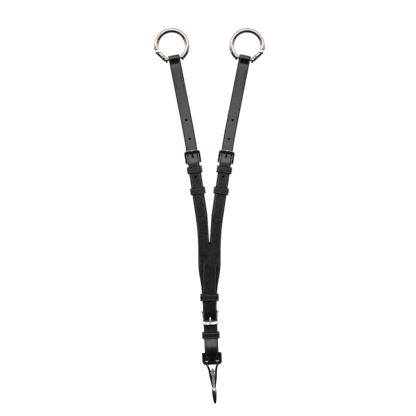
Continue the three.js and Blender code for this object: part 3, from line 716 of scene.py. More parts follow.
def upper_strap(name, side):
    line = arm_line(side)
    lying = -GAP - UPPER_THICK / 2
    wrap = RING_BAR + GAP + UPPER_SKIVED / 2
    turned = UPPER_THICK / 2 + GAP + 0.1 + UPPER_SKIVED / 2
    corners = [
        *tip_points(UPPER_TIP_AT, 1, lying, UPPER_THICK, 12.0),
        (-33.0, lying, UPPER_THICK, 3.0),
        (-21.5, upper_run_y(RUN_START_AT), UPPER_THICK, 3.0),
        *[(s, upper_run_y(s), UPPER_THICK) for s in range(-10, 107, 4)],
        (PINCH_AT, RING_Y - GAP - UPPER_SKIVED / 2, UPPER_SKIVED, 1.5),
        *fold(RING_BAR_AT, RING_Y, wrap, -130, 130, UPPER_SKIVED),
        (PINCH_AT, RING_Y + GAP + UPPER_SKIVED / 2, UPPER_SKIVED, 1.5),
        (UPPER_EASED_AT, upper_run_y(UPPER_EASED_AT) + turned, UPPER_SKIVED, 4.0),
        (UPPER_END_AT, upper_run_y(UPPER_END_AT) + turned, UPPER_SKIVED - 1.2),
    ]

    def half_at(s):
        return tip_half(s - UPPER_TIP_AT, UPPER_WIDTH / 2, 12.0, 0.75)
    rings = [leather_ring(station) for station in route_stations(line, route(corners), half_at)]
    cutters = strap_tunnels(line, UPPER_HEEL_AT, UPPER_BUCKLE, UPPER_HEEL_Y, False)
    for step in (-1, 1, 2):
        s = UPPER_HOLE_AT + step * HOLE_PITCH
        middle = lying if step < 0 else upper_run_y(s)
        cutters.append(hole_cutter(line, s, middle, UPPER_THICK, UPPER_HOLE))
    obj = leather_object(f"{name}_strap_leather", rings, cutters)
    return finish_piece(obj, "straps", "bridle_leather", f"{name}_strap")


def drop_y(s):
    """Depth of the middle of the lower strap below its buckle."""
    behind_bar = LOWER_BUCKLE.front_y + LOWER_BUCKLE.thick / 2 + LOWER_THICK / 2 + BAR_RELIEF
    return map_linear(min(s, DROP_TURN_AT), DROP_TURN_AT, CREST_AT, behind_bar, -2.0)


def drop_face_y(s):
    return drop_y(s) - LOWER_THICK / 2


def turned_y(s):
    return drop_y(s) + LOWER_THICK / 2 + GAP + 0.1 + LOWER_SKIVED / 2


def lower_half(s):
    """Half the lower strap's width: pointed at its tip, and narrow where it goes round the snap's eye bar."""
    if s > 0:
        return tip_half(LOWER_TIP_AT - s, LOWER_WIDTH / 2, 13.0, 0.35)
    share = share_of(s, WAIST_START_AT, WAIST_STOP_AT)
    return lerp(LOWER_WIDTH / 2, LOWER_WAIST / 2, share * share * (3 - 2 * share))


def lower_strap():
    lying = -GAP - LOWER_THICK / 2
    wrap = SNAP_EYE_BAR + GAP + LOWER_SKIVED / 2
    corners = [
        *tip_points(LOWER_TIP_AT, -1, lying, LOWER_THICK, 13.0),
        (LOWER_HEEL_AT - 2.5, lying, LOWER_THICK, 2.5),
        (LOWER_HEEL_AT - 14.5, drop_y(LOWER_HEEL_AT - 14.5), LOWER_THICK, 3.0),
        (DROP_TURN_AT, drop_y(DROP_TURN_AT), LOWER_THICK, 4.0),
        (CREST_AT, drop_y(CREST_AT), LOWER_THICK, 7.0),
        (SNAP_BAR_AT + 3, SNAP_Y - wrap - 0.5, LOWER_SKIVED, 2.0),
        *fold(SNAP_BAR_AT, SNAP_Y, wrap, 260, 90, LOWER_SKIVED),
        (SNAP_BAR_AT + 3, SNAP_Y + wrap - 0.3, LOWER_SKIVED, 2.0),
        (-69.5, turned_y(-69.5), LOWER_SKIVED, 4.0),
        (LOWER_END_AT, turned_y(LOWER_END_AT), LOWER_SKIVED - 0.8),
    ]
    stations = route_stations(LOWER_LINE, route(corners), lower_half)
    stations = [station._replace(normal=-station.normal) for station in stations]
    rings = [leather_ring(station) for station in stations]
    hole_at = LOWER_HOLE_AT + HOLE_PITCH - 4.6
    cutters = strap_tunnels(LOWER_LINE, LOWER_HEEL_AT, LOWER_BUCKLE, LOWER_HEEL_Y, True)
    cutters.append(hole_cutter(LOWER_LINE, hole_at, lying, LOWER_THICK, LOWER_HOLE))
    obj = leather_object("lower_strap_leather", rings, cutters, tangled=True)
    return finish_piece(obj, "straps", "bridle_leather", "lower_strap")


def safe_half(s):
    """Half the guard's width: wings with rounded lower corners, then a neck."""
    if s < SAFE_TOP:
        rise = clamp(s - SAFE_BOTTOM, 0.0, SAFE_CORNER)
        return SAFE_HALF - SAFE_CORNER + sqrt(max(SAFE_CORNER ** 2 - (SAFE_CORNER - rise) ** 2, 0.0))
    rise = clamp((s - SAFE_TOP) / 3.0, 0.0, 1.0)
    return SAFE_NECK + 2.0 * (1 - rise) ** 2


def snap_safe():
    hang = SNAP_Y + SNAP_EYE_BAR + GAP + LOWER_SKIVED + GAP + SAFE_THICK / 2

    def behind(s):
        return drop_y(s) + LOWER_THICK / 2 + LOWER_SKIVED + 2 * GAP + 0.3 + SAFE_THICK / 2
    shoulder = map_linear(SAFE_TOP, SNAP_BAR_AT + 1.5, SAFE_NECK_AT, hang, behind(SAFE_NECK_AT))
    corners = [
        *[(SAFE_BOTTOM + rise, hang, SAFE_THICK) for rise in (0.0, 0.3, 1.0, 2.2)],
        (SNAP_BAR_AT + 1.5, hang, SAFE_THICK, 1.6),
        (SAFE_TOP - 0.05, shoulder, SAFE_THICK),
        (SAFE_TOP + 0.05, shoulder, SAFE_THICK),
        (SAFE_NECK_AT, behind(SAFE_NECK_AT), SAFE_THICK, 4.0),
        (SAFE_NECK_TOP, behind(SAFE_NECK_TOP), SAFE_THICK - 0.6),
    ]
    stations = route_stations(LOWER_LINE, route(corners), safe_half)
    obj = leather_object("snap_safe_leather", [leather_ring(station) for station in stations])
    return finish_piece(obj, "straps", "bridle_leather", "snap_safe")


# ---- the yoke ----

SLOT_END, SLOT_FLAT = 2.5, 3.5
CROTCH_AT = -112.0
# A section's columns from its inner edge over the crease on the face, and round its inner edge on the back.
INNER_FACE_COLUMNS, INNER_BACK_COLUMNS = 11, 5

YokeStation = namedtuple("YokeStation", "inner outer normal thick inner_round drop")


def chape_points(heel, heel_y, bar, direction):
    """From the skived end behind the strap, round the heel bar, to where the yoke is at full thickness."""
    mid = bar + GAP + YOKE_SKIVED / 2
    laid = YOKE_THICK + GAP + YOKE_SKIVED / 2
    turn = fold(heel, heel_y, mid, 90, -90, YOKE_SKIVED) if direction > 0 \
        else fold(heel, heel_y, mid, 90, 270, YOKE_SKIVED)

    def down(distance):
        return heel - direction * distance
    return route([
        (down(50), laid - 0.3, YOKE_SKIVED - 0.8),
        (down(10), laid, YOKE_SKIVED, 3.0),
        (down(4), heel_y + mid, YOKE_SKIVED, 1.5),
        *turn,
        (down(6), YOKE_SKIVED / 2, YOKE_SKIVED, 1.5),
        (down(10), YOKE_THICK / 2, YOKE_THICK),
    ])


def arm_chape(side):
    """The folded end of an arm, as yoke stations that run towards the body."""
    line = arm_line(side)
    points = chape_points(UPPER_HEEL_AT, UPPER_HEEL_Y, UPPER_BUCKLE.bar, 1)
    stations = []
    for centre, across, normal, half, thick, drop in route_stations(line, points, lambda s: UPPER_WIDTH / 2):
        if centre.y < YOKE_THICK and thick > YOKE_SKIVED + 0.1:
            half = lerp(half, ARM_WIDTH / 2, (thick - YOKE_SKIVED) / (YOKE_THICK - YOKE_SKIVED))
        reach = across * side * half
        stations.append(YokeStation(centre - reach, centre + reach, -normal, thick, 1.0, drop))
    return [s._replace(drop=0.0) if i > len(stations) / 2 else s for i, s in enumerate(stations)]


def body_stations(side):
    """From the arm down over the body to the tail, in the flat; the two halves meet below the slit."""
    line = arm_line(side)

    def edge(s, sign):
        x, z, angle = line(s)
        reach = side * sign * ARM_WIDTH / 2
        return Vector((x + reach * cos(angle), z - reach * sin(angle)))

    def flat(x, z):
        return Vector((side * x, z))
    inner_top, outer_top = edge(CROTCH_AT, -1), edge(CROTCH_AT, 1)
    inner_curve = (inner_top, inner_top + flat(-0.6, -10.0), flat(1.0, 25.0), flat(SLIT_HALF, SLIT_Z + 0.6))
    outer_curve = (outer_top, outer_top + flat(-2.6, -17.0), flat(HALF_BODY, 15.0), flat(HALF_BODY, -5.0))
    tail_curve = (flat(HALF_BODY, -14.0), flat(HALF_BODY - 0.2, -42.0), flat(HALF_TAIL + 0.6, -42.0),
                  flat(HALF_TAIL, TAIL_BEND_Z - 5.0))
    pairs = []
    for k in range(1, 30):
        s = lerp(UPPER_HEEL_AT - 10.0, CROTCH_AT, k / 30)
        pairs.append((edge(s, -1), edge(s, 1), 1.0))
    for k in range(30):
        u = k / 29
        inner = bezier(*inner_curve, u)
        pairs.append((inner, bezier(*outer_curve, u), clamp((inner.y - SLIT_Z - 1.0) / 9.0, 0.0, 1.0)))
    for k in range(7):
        outer_z = lerp(-5.2, -14.0, k / 6)
        inner_z = lerp(SLIT_Z, -14.0, k / 6)
        pairs.append((flat(0.0, inner_z), flat(HALF_BODY, outer_z), 0.0))
    for k in range(1, 34):
        outer = bezier(*tail_curve, k / 33)
        pairs.append((flat(0.0, outer.y), outer, 0.0))
    middle = YOKE_THICK / 2
    return [YokeStation(Vector((a.x, middle, a.y)), Vector((b.x, middle, b.y)), -UP_Y, YOKE_THICK, rounding,
                        0.0) for a, b, rounding in pairs]


def tail_chape(side):
    """The folded end of the tail, in the flat, as yoke stations that run away from the body."""
    points = chape_points(LOWER_HEEL_AT, LOWER_HEEL_Y, LOWER_BUCKLE.bar, -1)[::-1]
    flat_line = centreline(0.0, TAIL_BEND_Z, 0.0, 1e-9, 1.0)
    stations = []
    half = LOWER_WIDTH / 2 - 0.1
    for i, station in enumerate(route_stations(flat_line, points, lambda s: half)):
        drop = station.drop if i > 10 else 0.0
        stations.append(YokeStation(station.centre, station.centre + Vector((side * half, 0.0, 0.0)),
                                    station.normal, station.thick, 0.0, drop))
    return stations


def lean_tail(vertex):
    """The yoke's flat tail leans with the lower strap below its bend."""
    s = vertex.z - TAIL_BEND_Z
    if s > TAIL_BEND_HALF:
        return vertex
    x, z, angle = LOWER_LINE(s)
    return Vector((x + vertex.x * cos(angle), vertex.y, z - vertex.x * sin(angle)))


def yoke_half(side):
    """One half of the yoke, open along the middle line below the slit."""
    stations = arm_chape(side) + body_stations(side) + tail_chape(side)
    rings = []
    for st in stations:
        span = st.outer - st.inner
        middle = (st.inner + st.outer) / 2
        station = Station(middle, span.normalized(), st.normal, span.length / 2, st.thick, st.drop)
        rings.append(leather_ring(station, st.inner_round))
    vertices, faces = skin(rings)
    count = len(rings[0])
    merged = [st.inner.x == 0.0 for st in stations]
    kept, indices = [], []
    for number, face in enumerate(faces[:-2]):
        i, j = divmod(number, count)
        if merged[i] and merged[i + 1] and j in (0, count - 1):
            continue
        near_middle = j < INNER_FACE_COLUMNS or j >= count - INNER_BACK_COLUMNS
        smooth_middle = stations[i].inner_round < 0.2 and near_middle
        kind = COLUMNS[j]
        if smooth_middle and kind in (EDGE, CREASE_HIGHLIGHT):
            kind = GRAIN if j < count / 2 else FLESH
        kept.append(face)
        indices.append(kind)
    kept += faces[-2:]
    return [lean_tail(v) for v in vertices], kept, indices + [EDGE, EDGE]


def yoke():
    vertices, faces, indices = [], [], []
    for side in (-1, 1):
        half_vertices, half_faces, half_indices = yoke_half(side)
        shift = len(vertices)
        vertices += half_vertices
        faces += [tuple(i + shift for i in face) for face in half_faces]
        indices += half_indices
    obj = make_object("yoke_leather", vertices, faces, LEATHERS + [HOLE_SHADE], indices)
    straight = centreline(0.0, 0.0, 0.0, 1e-9, 1.0)
    slot = [(SLOT_END * cos(a), SLOT_FLAT * copysign(1, sin(a)) + SLOT_END * sin(a))
            for a in (pi * (k + 0.5) / 12 for k in range(24))]
    heels = [(arm_line(side), UPPER_HEEL_AT, UPPER_HEEL_Y) for side in (-1, 1)]
    heels.append((LOWER_LINE, LOWER_HEEL_AT, LOWER_HEEL_Y))
    # The slit hole and the tongue slots at the heels take flat black walls: painted shade.
    cutters = [hole_cutter(straight, SLIT_Z, YOKE_THICK / 2, YOKE_THICK, SLIT_HOLE)]
    cutters += [blade([prism(slot, -9.0, 9.0)], line_matrix(*heel), HOLE_SHADE) for heel in heels]
    cut(obj, cutters)
    finish_piece(obj, "straps", "bridle_leather", "yoke")
    # A flat black disc just inside the back of the slit hole: painted shade, so the hole reads dark.
    centre = Vector((0.0, YOKE_THICK - 0.4, SLIT_Z))
    slit_shade_disc = shape_object("slit_hole_painted_shade", [disc(centre, SLIT_HOLE + 0.15, 0.2, 40)], None, HOLE_SHADE)
    finish_piece(slit_shade_disc, "straps", "bridle_leather")


# ---- keepers ----

def keeper(node, body, line, s, half_width, front, back):
    """A leather loop round the straps, its ends butted together at the back."""
    wall = KEEPER_WALL
    place = line_matrix(line, s)
    along = place.to_3x3() @ Vector((0.0, 0.0, 1.0))
    radius = KEEPER_CORNER
    x = half_width + wall / 2
    y0, y1 = front - wall / 2, back + wall / 2
    corners = [(x - radius, y1 - radius, 90), (x - radius, y0 + radius, 0),
               (-x + radius, y0 + radius, -90), (-x + radius, y1 - radius, -180)]
    path = [(u, y1, 90.0) for u in KEEPER_BUTT]
    for cx, cy, first in corners:
        for k in range(7):
            angle = radians(first - 90 * k / 6)
            path.append((cx + radius * cos(angle), cy + radius * sin(angle), first - 90 * k / 6))
    path += [(-u, y1, 90.0) for u in reversed(KEEPER_BUTT)]
    rings = []
    for u, y, degrees in path:
        angle = radians(degrees)
        normal = place.to_3x3() @ Vector((cos(angle), sin(angle), 0.0))
        drop = end_drop(abs(u) - KEEPER_BUTT[0]) if y == y1 and abs(u) <= KEEPER_BUTT[-1] else 0.0
        centre = place @ Vector((u, y, 0.0))
        rings.append(leather_ring(Station(centre, along, normal, KEEPER_HEIGHT / 2, wall, drop)))
    obj = leather_object(f"{node}_leather", rings)
    return finish_piece(obj, body, "bridle_leather", node)


# ---- stitching ----

def stitch_rows(name, line, first, last, half, faces):
    """Two rows of stitches on each (depth at s, outward sign) face."""
    shells = []
    count = round(abs(last - first) / STITCH_PITCH)
    for depth_at, outward in faces:
        for side in (-1, 1):
            for k in range(count):
                s = lerp(first, last, (k + 0.5) / count)
                x, z, angle = line(s)
                place = Matrix.Translation((x, depth_at(s) + outward * 0.02, z))
                place = place @ Matrix.Rotation(angle + side * STITCH_LEAN, 4, "Y")
                place = place @ Matrix.Translation((side * (half - STITCH_IN), 0.0, 0.0))
                shells.append(joined([ball(Vector(), 1.0)], place @ Matrix.Diagonal(STITCH_SIZE)))
    finish_piece(shape_object(name, shells, None, THREAD), "straps", "bridle_leather")


# ---- buckles ----

def buckle_rails(size):
    """Inner and outer edges of a horseshoe frame, from the left heel over the front bar to the right heel."""
    half, inner = size.outer / 2, size.opening / 2
    top, under = size.reach + size.front / 2, size.reach - size.front / 2
    soft = size.corner * 0.4
    left = []
    for k in range(9):
        z = lerp(-size.bar * 0.2, under - soft, k / 8)
        left.append((Vector((-inner, z)), Vector((-half, lerp(-size.bar * 0.2, top - size.corner, k / 8)))))
    for k in range(1, 13):
        a = radians(180 - 90 * k / 12)
        left.append((Vector((-inner + soft + soft * cos(a), under - soft + soft * sin(a))),
                     Vector((-half + size.corner + size.corner * cos(a),
                             top - size.corner + size.corner * sin(a)))))
    for k in range(1, 8):
        share = k / 8
        bow = 0.8 * (1 - (1 - share) ** 2)
        left.append((Vector((lerp(-inner + soft, 0.0, share), under + bow * 0.35)),
                     Vector((lerp(-half + size.corner, 0.0, share), top + bow * 0.5))))
    middle = [(Vector((0.0, under + 0.28)), Vector((0.0, top + 0.4)))]
    mirror = [(Vector((-a.x, a.y)), Vector((-b.x, b.y))) for a, b in reversed(left)]
    return left + middle + mirror


def buckle_frame_shells(size):
    """A cast frame with a flat face and rounded edges, on a round heel bar."""
    section = []
    for a in turns(32):
        across = 0.5 + 0.5 * copysign(abs(cos(a)) ** 0.5, cos(a))
        bulge = 1.0 if sin(a) < 0 else 0.55
        section.append((across, copysign(abs(sin(a)) ** 0.45, sin(a)) * bulge * size.thick / 2))
    rings = []
    for inner, outer in buckle_rails(size):
        ring = []
        for across, y in section:
            spot = inner.lerp(outer, across)
            ring.append(Vector((spot.x, y, spot.y)))
        rings.append(ring)
    half, inner = size.outer / 2, size.opening / 2
    shells = [skin(rings), round_bar(Vector((-half + 0.6, 0, 0)), Vector((half - 0.6, 0, 0)), size.bar, 0.3)]
    for side in (-1, 1):
        ends = Vector((side * (inner + 0.05), 0, 0)), Vector((side * (half - 0.02), 0, 0))
        shells.append(round_bar(*ends, size.thick / 2 - 0.15, 0.5))
    return shells


# The section of a tongue's eye: (along the heel bar, above the bore).
TONGUE_EYE = ((-1.25, 0.0), (-1.5, 0.25), (-1.6, 0.6), (-1.25, TONGUE_WALL), (1.25, TONGUE_WALL), (1.6, 0.6),
              (1.5, 0.25), (1.25, 0.0))


def buckle_tongue_shells(size, heel_y):
    """A wire tongue closed round the heel bar, flattened where it rests and tapered to its tip."""
    curve = tongue_curve(size, heel_y)
    tip = Vector((0.0, -0.1, 2.4))
    section = [(x, size.bar + GAP + rise) for x, rise in TONGUE_EYE]
    eye = skin([[Vector((x, r * cos(a), r * sin(a))) for x, r in section] for a in turns(40)], closed=True)
    points = curve + [curve[-1] + tip * share for share in (0.4, 0.75, 0.95, 1.1, 1.2)]
    radii = [1.05] * 10 + [1.0, 0.98, 0.95, 0.92, 0.85, 0.7, 0.5, 0.22]
    widths = [1.3] * 11 + [1.45, 1.55, 1.45, 1.3, 1.2, 1.1, 1.0]
    return [eye, tube(points, radii, 24, widths)]


def buckle(name, body, line, s, size, heel_y, material, slot, down=False):
    place = buckle_matrix(line, s, heel_y, down)
    tipped = place @ Matrix.Rotation(frame_tilt(size, heel_y), 4, "X")
    cast = shape_object(f"{name}_frame_cast", buckle_frame_shells(size), tipped, material, METAL_SHARP)
    finish_piece(cast, "straps", slot, f"{name}_frame")
    shells = buckle_tongue_shells(size, heel_y)
    wire = shape_object(f"{name}_tongue_wire", shells, place, material, METAL_SHARP)
    finish_piece(wire, body, slot, f"{name}_tongue")


# ---- ring with a sprung gate ----

def on_ring(angle, radius=RING_RADIUS):
    return Vector((radius * cos(angle), 0.0, radius * sin(angle)))


PIN = on_ring(PIN_ANGLE)
LEG_BEADS_AT = 9.2
LEG_BEADS = ((0.0, 0.0), (0.5, 0.35), (1.0, 0.0), (2.0, 0.0), (2.5, 0.35), (3.0, 0.0))
ARC_START, ARC_STOP, GATE_START, GATE_SHORT, NECK = (radians(a) for a in (-58.5, 160, 110, 9.7, 12))
LEFT_COLLAR = Vector((-COLLAR_AT, 0.0, -BAR_DROP))


def housing_point(distance):
    return PIN.lerp(LEFT_COLLAR, distance / (LEFT_COLLAR - PIN).length)


def ring_arc(first, last, steps):
    rings = []
    for i in range(steps + 1):
        angle = lerp(first, last, i / steps)
        ring = []
        for turn in turns(32):
            ring.append(on_ring(angle, RING_RADIUS + RING_WIRE * cos(turn)) + UP_Y * RING_WIRE * sin(turn))
        rings.append(ring)
    return skin(rings)


def lap_cutter(place):
    """The outer side of the lap joint, past the gate's shoulder."""
    cutter = blade([disc(Vector(), RING_RADIUS + 9.0, 11.0)], place)
    inner = blade([disc(Vector(), RING_RADIUS - LAP_SEAM / 2, 12.0)], place)
    near = blade([disc(PIN, LAP_SHOULDER, 12.0)], place)
    return cut(cutter, [inner, near])


def lap_recess(place):
    """What the ring's end leaves free for the gate's tongue: near the pin, inside the wire's middle."""
    cutter = blade([disc(PIN, LAP_TIP + LAP_SEAM, 11.0)], place)
    outer = blade([disc(Vector(), RING_RADIUS + 30.0, 12.0)], place)
    middle = blade([disc(Vector(), RING_RADIUS + LAP_SEAM / 2, 13.0)], place)
    cut(outer, [middle])
    return cut(cutter, [outer])


def ring_body(name, place):
    arc = shape_object(f"{name}_ring_body_cast", [ring_arc(ARC_START, ARC_STOP, 90)], place, ROSE)
    # The lap's cut faces take the dark seam material: painted shade in the joint.
    near = blade([disc(PIN, LAP_SHOULDER + LAP_SEAM, 11.0)], place)
    cut(arc, [near, lap_recess(place)])
    leg = round_bar(LEFT_COLLAR, housing_point(1.5), RING_WIRE, 0.4)
    housing = shape_object("housing", [leg], place, ROSE)
    # The knuckle slot's cut faces take the dark seam material: painted shade.
    cut(housing, [blade([disc(PIN, RING_WIRE + 0.6, SLOT_HALF)], place)])
    shells = [round_bar(LEFT_COLLAR, Vector((COLLAR_AT, 0, -BAR_DROP)), RING_BAR, 0.2)]
    for side in (-1, 1):
        ends = (Vector((side * COLLAR_AT + d, 0, -BAR_DROP)) for d in (-1.5, 1.5))
        shells.append(round_bar(*ends, COLLAR, 0.7))
        ear = PIN + UP_Y * side * SLOT_HALF, PIN + UP_Y * side * RING_WIRE
        shells.append(round_bar(*ear, RING_WIRE, 0.45))
    beads = [(d, RING_WIRE + rise) for d, rise in LEG_BEADS]
    shells.append(lathe(housing_point(LEG_BEADS_AT), housing_point(LEG_BEADS_AT + LEG_BEADS[-1][0]), beads))
    fittings = shape_object("fittings", shells, place, ROSE)
    merge([arc, housing, fittings])
    soften(arc, 0.18)
    finish_piece(arc, f"{name}_ring", "rose_plated_ring", f"{name}_ring_body")
    head = UP_Y * (RING_WIRE + 0.3)
    length = 2 * RING_WIRE + 0.6
    profile = [(0.0, 0.5), (0.12, 0.95), (0.4, GATE_PIN)]
    profile += [(length - d, radius) for d, radius in reversed(profile)]
    rivet = shape_object(f"{name}_ring_rivet", [lathe(PIN - head, PIN + head, profile)], place, ROSE)
    finish_piece(rivet, f"{name}_ring", "rose_plated_ring", f"{name}_ring_gate_pin")


def ring_gate(name, place):
    arc = ring_arc(GATE_START, PIN_ANGLE - GATE_SHORT, 40)
    gate = shape_object(f"{name}_ring_gate_cast", [arc], place, ROSE)
    # The gate's cut ends take the dark seam material: painted shade in the joint.
    far = blade([disc(PIN, 60.0, 13.0)], place)
    near = blade([disc(PIN, LAP_TIP, 14.0)], place)
    cut(far, [near])
    cut(gate, [far, lap_cutter(place)])
    neck_end = on_ring(PIN_ANGLE - NECK)
    neck = tube([PIN.lerp(neck_end, k / 4) for k in range(-1, 6)], [1.9] * 7, 16)
    neck = ([Vector((v.x, clamp(v.y, -KNUCKLE_HALF, KNUCKLE_HALF), v.z)) for v in neck[0]], neck[1])
    eye = round_bar(PIN - UP_Y * KNUCKLE_HALF, PIN + UP_Y * KNUCKLE_HALF, KNUCKLE, 0.3)
    merge([gate, shape_object("eye", [neck, eye], place, ROSE)])
    soften(gate, 0.18)
    finish_piece(gate, f"{name}_gate", "rose_plated_ring", f"{name}_ring_gate")


def ring(name, side):
    place = line_matrix(arm_line(side), RING_BAR_AT + BAR_DROP, RING_Y)
    if side > 0:
        place = place @ Matrix.Rotation(pi, 4, "Z")
    ring_body(name, place)
    ring_gate(name, place)


# ---- snap hook ----

SNAP_PIN = Vector((0.0, 3.5, -14.0))
SNAP_WIRE, SNAP_BEND, SNAP_BEND_Z, SNAP_LEG, SNAP_EYE = 3.4, 9.0, -49.0, 1.7, 8.1
BEND_STEPS = 24
# Half of the eye and one leg (x, y, z), and the spine and the nose (y from the bend's middle, z, radius).
SNAP_SIDE = ((SNAP_EYE, 0, 0.3), (SNAP_EYE, 0.2, -3.8), (6.3, 1, -7.4), (4.8, 2.9, -13.5), (3.6, 5.8, -24),
             (1.6, 8.2, -36))
SNAP_SPINE = ((-0.4, -27.5, 1.0), (-0.6, -30, 2.4), (-0.5, -36, 3.1), (-0.2, -42, 3.4))
SNAP_NOSE = ((0.2, -45.5, 3.4), (0.4, -40.0, 3.35), (0.4, -38.1, 3.0), (0.4, -36.8, 2.3), (0.4, -35.9, 1.4),
             (0.4, -35.55, 0.5))
SNAP_NOTCH = ((-6.0, -33.5), (-6.0, -43.5), (6.0, -43.5), (6.0, -33.5))
SNAP_LEVER = ((0.2, -9.2), (1.8, -9.4), (5.6, -13.0), (5.4, -16.5), (-2.6, -41.2), (-5.2, -41.8),
              (-5.8, -40.8), (0.6, -15.5))
LEVER_HALF = 1.8


def hook_taper(z):
    return clamp(map_linear(z, -47.0, -62.0, 1.03, 0.55), 0.55, 1.03)


def snap_body(place):
    """Two legs from the eye bar join into one spine, which bends into a tapering hook with a rounded nose."""
    eye_end = Vector((SNAP_EYE + 0.2, 0, 0))
    shells = [round_bar(-eye_end, eye_end, SNAP_EYE_BAR, 0.4)]
    for side in (-1, 1):
        path = catmull([Vector((side * x, y, z)) for x, y, z in SNAP_SIDE], 8)
        radii = [lerp(SNAP_LEG, 2.0, i / (len(path) - 1)) for i in range(len(path))]
        shells.append(tube(path, radii))
        shells.append(ball(Vector((side * SNAP_EYE, 0, 0.2)), 1.85))
        shells.append(round_bar(*(SNAP_PIN + Vector((side * x, 0, 0)) for x in (3.6, 6.3)), 2.0, 0.4))
    path = [Vector((0, SNAP_BEND + y, z)) for y, z, _ in SNAP_SPINE]
    for k in range(BEND_STEPS + 1):
        angle = -pi * k / BEND_STEPS
        path.append(Vector((0, SNAP_BEND * cos(angle), SNAP_BEND_Z + SNAP_BEND * sin(angle))))
    path += [Vector((0, y - SNAP_BEND, z)) for y, z, _ in SNAP_NOSE]
    radii = [r for _, _, r in SNAP_SPINE] + [SNAP_WIRE] * (BEND_STEPS + 1) + [r for _, _, r in SNAP_NOSE]
    wire = tube(path, radii, 32, [hook_taper(point.z) for point in path])
    hook = shape_object("snap_body_cast", [wire], place, NICKEL)
    cut(hook, [blade([prism(SNAP_NOTCH, -6.5, -2.0)], place, NICKEL)])
    merge([hook, shape_object("legs", shells, place, NICKEL)])
    soften(hook, 0.2)
    finish_piece(hook, "snap", "nickel_plated_fittings", "snap_body")


def snap_gate(place):
    """A wedge-shaped lever on a round boss, shut against the hook's nose."""
    narrow = [clamp(map_linear(z, -15.4, -9.0, 1.0, 0.45), 0.45, 1.0) for _, z in SNAP_LEVER]
    rings = [[Vector((x * share, y, z)) for share, (y, z) in zip(narrow, SNAP_LEVER)]
             for x in (-LEVER_HALF, LEVER_HALF)]
    lever = shape_object("snap_gate_pressed", [skin(rings)], place, SATIN)
    soften(lever, 0.5, 3)
    reach = Vector((LEVER_HALF, 0, 0))
    boss = round_bar(SNAP_PIN - reach, SNAP_PIN + reach, 3.2, 0.4)
    merge([lever, shape_object("boss", [boss], place, SATIN)])
    clean(lever, METAL_SHARP)
    finish_piece(lever, "snap_gate", "nickel_plated_fittings", "snap_gate")


# ---- stage ----

# Grey values of the room and of its light panels, by height: 0 straight down, 0.5 level, 1 straight up.
ROOM_STOPS = ((0.0, 0.01), (0.42, 0.015), (0.5, 0.03), (0.54, 0.07), (0.6, 0.2), (1.0, 0.5))
PANEL_STOPS = ((0.535, 0.0), (0.578, 1.0), (0.8, 1.0), (0.92, 0.15))
# The panels' own spread from the sides, 0, to straight before or behind the object, 1.
WINDOW_STOPS = ((0.35, 0.0), (0.8, 1.0))
PANEL_STRENGTH, BACKDROP_STRENGTH = 1.15, 1.05
WHITE = (1.0, 1.0, 1.0, 1.0)
FLOOR_Z = -0.62
CAMERA_AT, LENS, SENSOR = (-0.0021, -1.676, -0.2354), 100.0, 36.0


def build_floor():
    material = new_material("floor", (0.9, 0.9, 0.9), 0.9, Emission_Color=WHITE, Emission_Strength=0.9)
    bpy.ops.mesh.primitive_plane_add(size=6.0, location=(0.0, 0.0, FLOOR_Z))
    floor = bpy.context.object
    floor.name = "floor"
    floor.data.materials.append(material)
    floor.visible_diffuse = False
    floor.visible_glossy = False


def combine(tree, operation, *values):
    node = new_node(tree, "Math")
    node.operation = operation
    for socket, value in zip(node.inputs, values):
        feed(tree, socket, value)
    return node.outputs["Value"]


def build_world():
    """White where the camera looks past the object; elsewhere a dim room with soft panels, front and back.

    The panels start a little above the horizon, so leather that tips upwards shines and the rest is dark.
    """
    world = bpy.data.worlds.new("studio")
    bpy.context.scene.world = world
    world.use_nodes = True
    tree = world.node_tree
    direction = new_node(tree, "TexCoord").outputs["Generated"]
    split = new_node(tree, "SeparateXYZ", Vector=direction).outputs
    height = combine(tree, "MULTIPLY_ADD", split["Z"], 0.5, 0.5)
    depth = combine(tree, "ABSOLUTE", split["Y"])
    window = combine(tree, "MULTIPLY", ramp(tree, height, PANEL_STOPS), ramp(tree, depth, WINDOW_STOPS))
    light = combine(tree, "MULTIPLY", window, PANEL_STRENGTH)
    strength = combine(tree, "ADD", ramp(tree, height, ROOM_STOPS), light)
    room = fill(tree, tree.nodes["Background"], Strength=strength, Color=WHITE)
    backdrop = new_node(tree, "Background", Strength=BACKDROP_STRENGTH, Color=WHITE)
    mix = new_node(tree, "MixShader", Fac=new_node(tree, "LightPath").outputs["Is Camera Ray"])
    for socket, background in zip(mix.inputs[1:], (room, backdrop)):
        feed(tree, socket, background.outputs["Background"])
    fill(tree, tree.nodes["World Output"], Surface=mix.outputs["Shader"])


def softbox(name, place, target, size, watts):
    data = bpy.data.lights.new(name, "AREA")
    data.shape = "RECTANGLE"
    data.size, data.size_y = size
    data.energy = watts
    light = bpy.data.objects.new(name, data)
    light.location = place
    light.rotation_euler = (Vector(target) - Vector(place)).to_track_quat("-Z", "Y").to_euler()
    bpy.context.scene.collection.objects.link(light)


def build_camera():
    data = bpy.data.cameras.new("camera")
    data.lens = LENS
    data.sensor_width = SENSOR
    camera = bpy.data.objects.new("camera", data)
    camera.location = CAMERA_AT
    camera.rotation_euler = (pi / 2, 0.0, 0.0)
    bpy.context.scene.collection.objects.link(camera)
    bpy.context.scene.camera = camera


def build_stage():
    build_floor()
    build_world()
    for name, x, watts in (("left", -1.5, 3.0), ("right", 1.5, 2.0)):
        softbox(name, (x, -0.5, 0.2), (0.0, 0.0, -0.2), (0.4, 1.4), watts)
    build_camera()
    bpy.context.scene.view_settings.view_transform = "Standard"


# ---- assembly ----

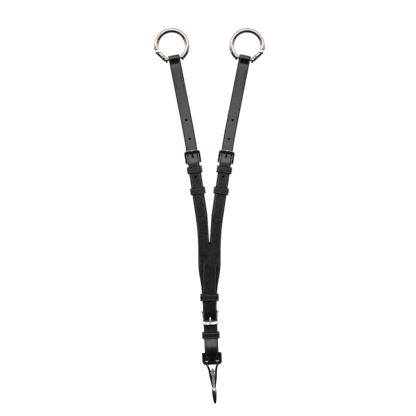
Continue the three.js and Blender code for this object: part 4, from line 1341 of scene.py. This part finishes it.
def build_arm(name, side):
    line = arm_line(side)
    half = ARM_WIDTH / 2 + 0.35
    front = -UPPER_THICK - 2 * GAP
    back = YOKE_THICK + YOKE_SKIVED + 2 * GAP
    upper_strap(name, side)
    keeper(f"{name}_keeper", "straps", line, KEEPER_AT, half, front, back + 1.4)
    keeper(f"{name}_runner", f"{name}_runner", line, RUNNER_AT, half, front, back)
    buckle(f"{name}_buckle", f"{name}_tongue", line, UPPER_HEEL_AT, UPPER_BUCKLE, UPPER_HEEL_Y, BRONZE,
           "bronze_plated_buckle")
    stitch_rows(f"{name}_strap_stitching", line, UPPER_END_AT + 2.0, UPPER_EASED_AT + 4.0, UPPER_WIDTH / 2,
                [(upper_face_y, -1), (upper_back_y, 1)])
    ring(name, side)


def build_lower():
    lower_strap()
    snap_safe()
    keeper("tail_keeper", "straps", LOWER_LINE, TAIL_KEEPER_AT, 11.5, -LOWER_THICK - 2 * GAP,
           YOKE_THICK + YOKE_SKIVED + 2 * GAP)
    keeper("drop_keeper", "straps", LOWER_LINE, DROP_KEEPER_AT, LOWER_WIDTH / 2 + 0.7,
           drop_y(DROP_KEEPER_AT - KEEPER_HEIGHT / 2) - LOWER_THICK / 2 - GAP - 0.1,
           drop_y(DROP_KEEPER_AT + KEEPER_HEIGHT / 2) + LOWER_THICK / 2 + LOWER_SKIVED + 2 * GAP + 0.3)
    buckle("lower_buckle", "lower_tongue", LOWER_LINE, LOWER_HEEL_AT, LOWER_BUCKLE, LOWER_HEEL_Y, NICKEL,
           "nickel_plated_fittings", down=True)
    stitch_rows("lower_strap_stitching", LOWER_LINE, -56.0, -69.0, LOWER_WIDTH / 2, [(drop_face_y, -1)])
    x, z, _ = LOWER_LINE(SNAP_BAR_AT)
    place = Matrix.Translation((x, SNAP_Y, z)) @ Matrix.Rotation(-SNAP_LEAN, 4, "Y")
    snap_body(place)
    snap_gate(place)


def dress_hidden_parts():
    """The small CAD parts that stay as they are get their metal."""
    for node, material in (("snap_gate_pin", NICKEL), ("snap_gate_spring", STEEL)):
        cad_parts[node].data.materials[0] = material
    for name in ("left", "right"):
        for part in ("plunger", "spring"):
            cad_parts[f"{name}_ring_gate_{part}"].data.materials[0] = STEEL


build_stage()
yoke()
build_arm("left", -1)
build_arm("right", 1)
build_lower()
dress_hidden_parts()
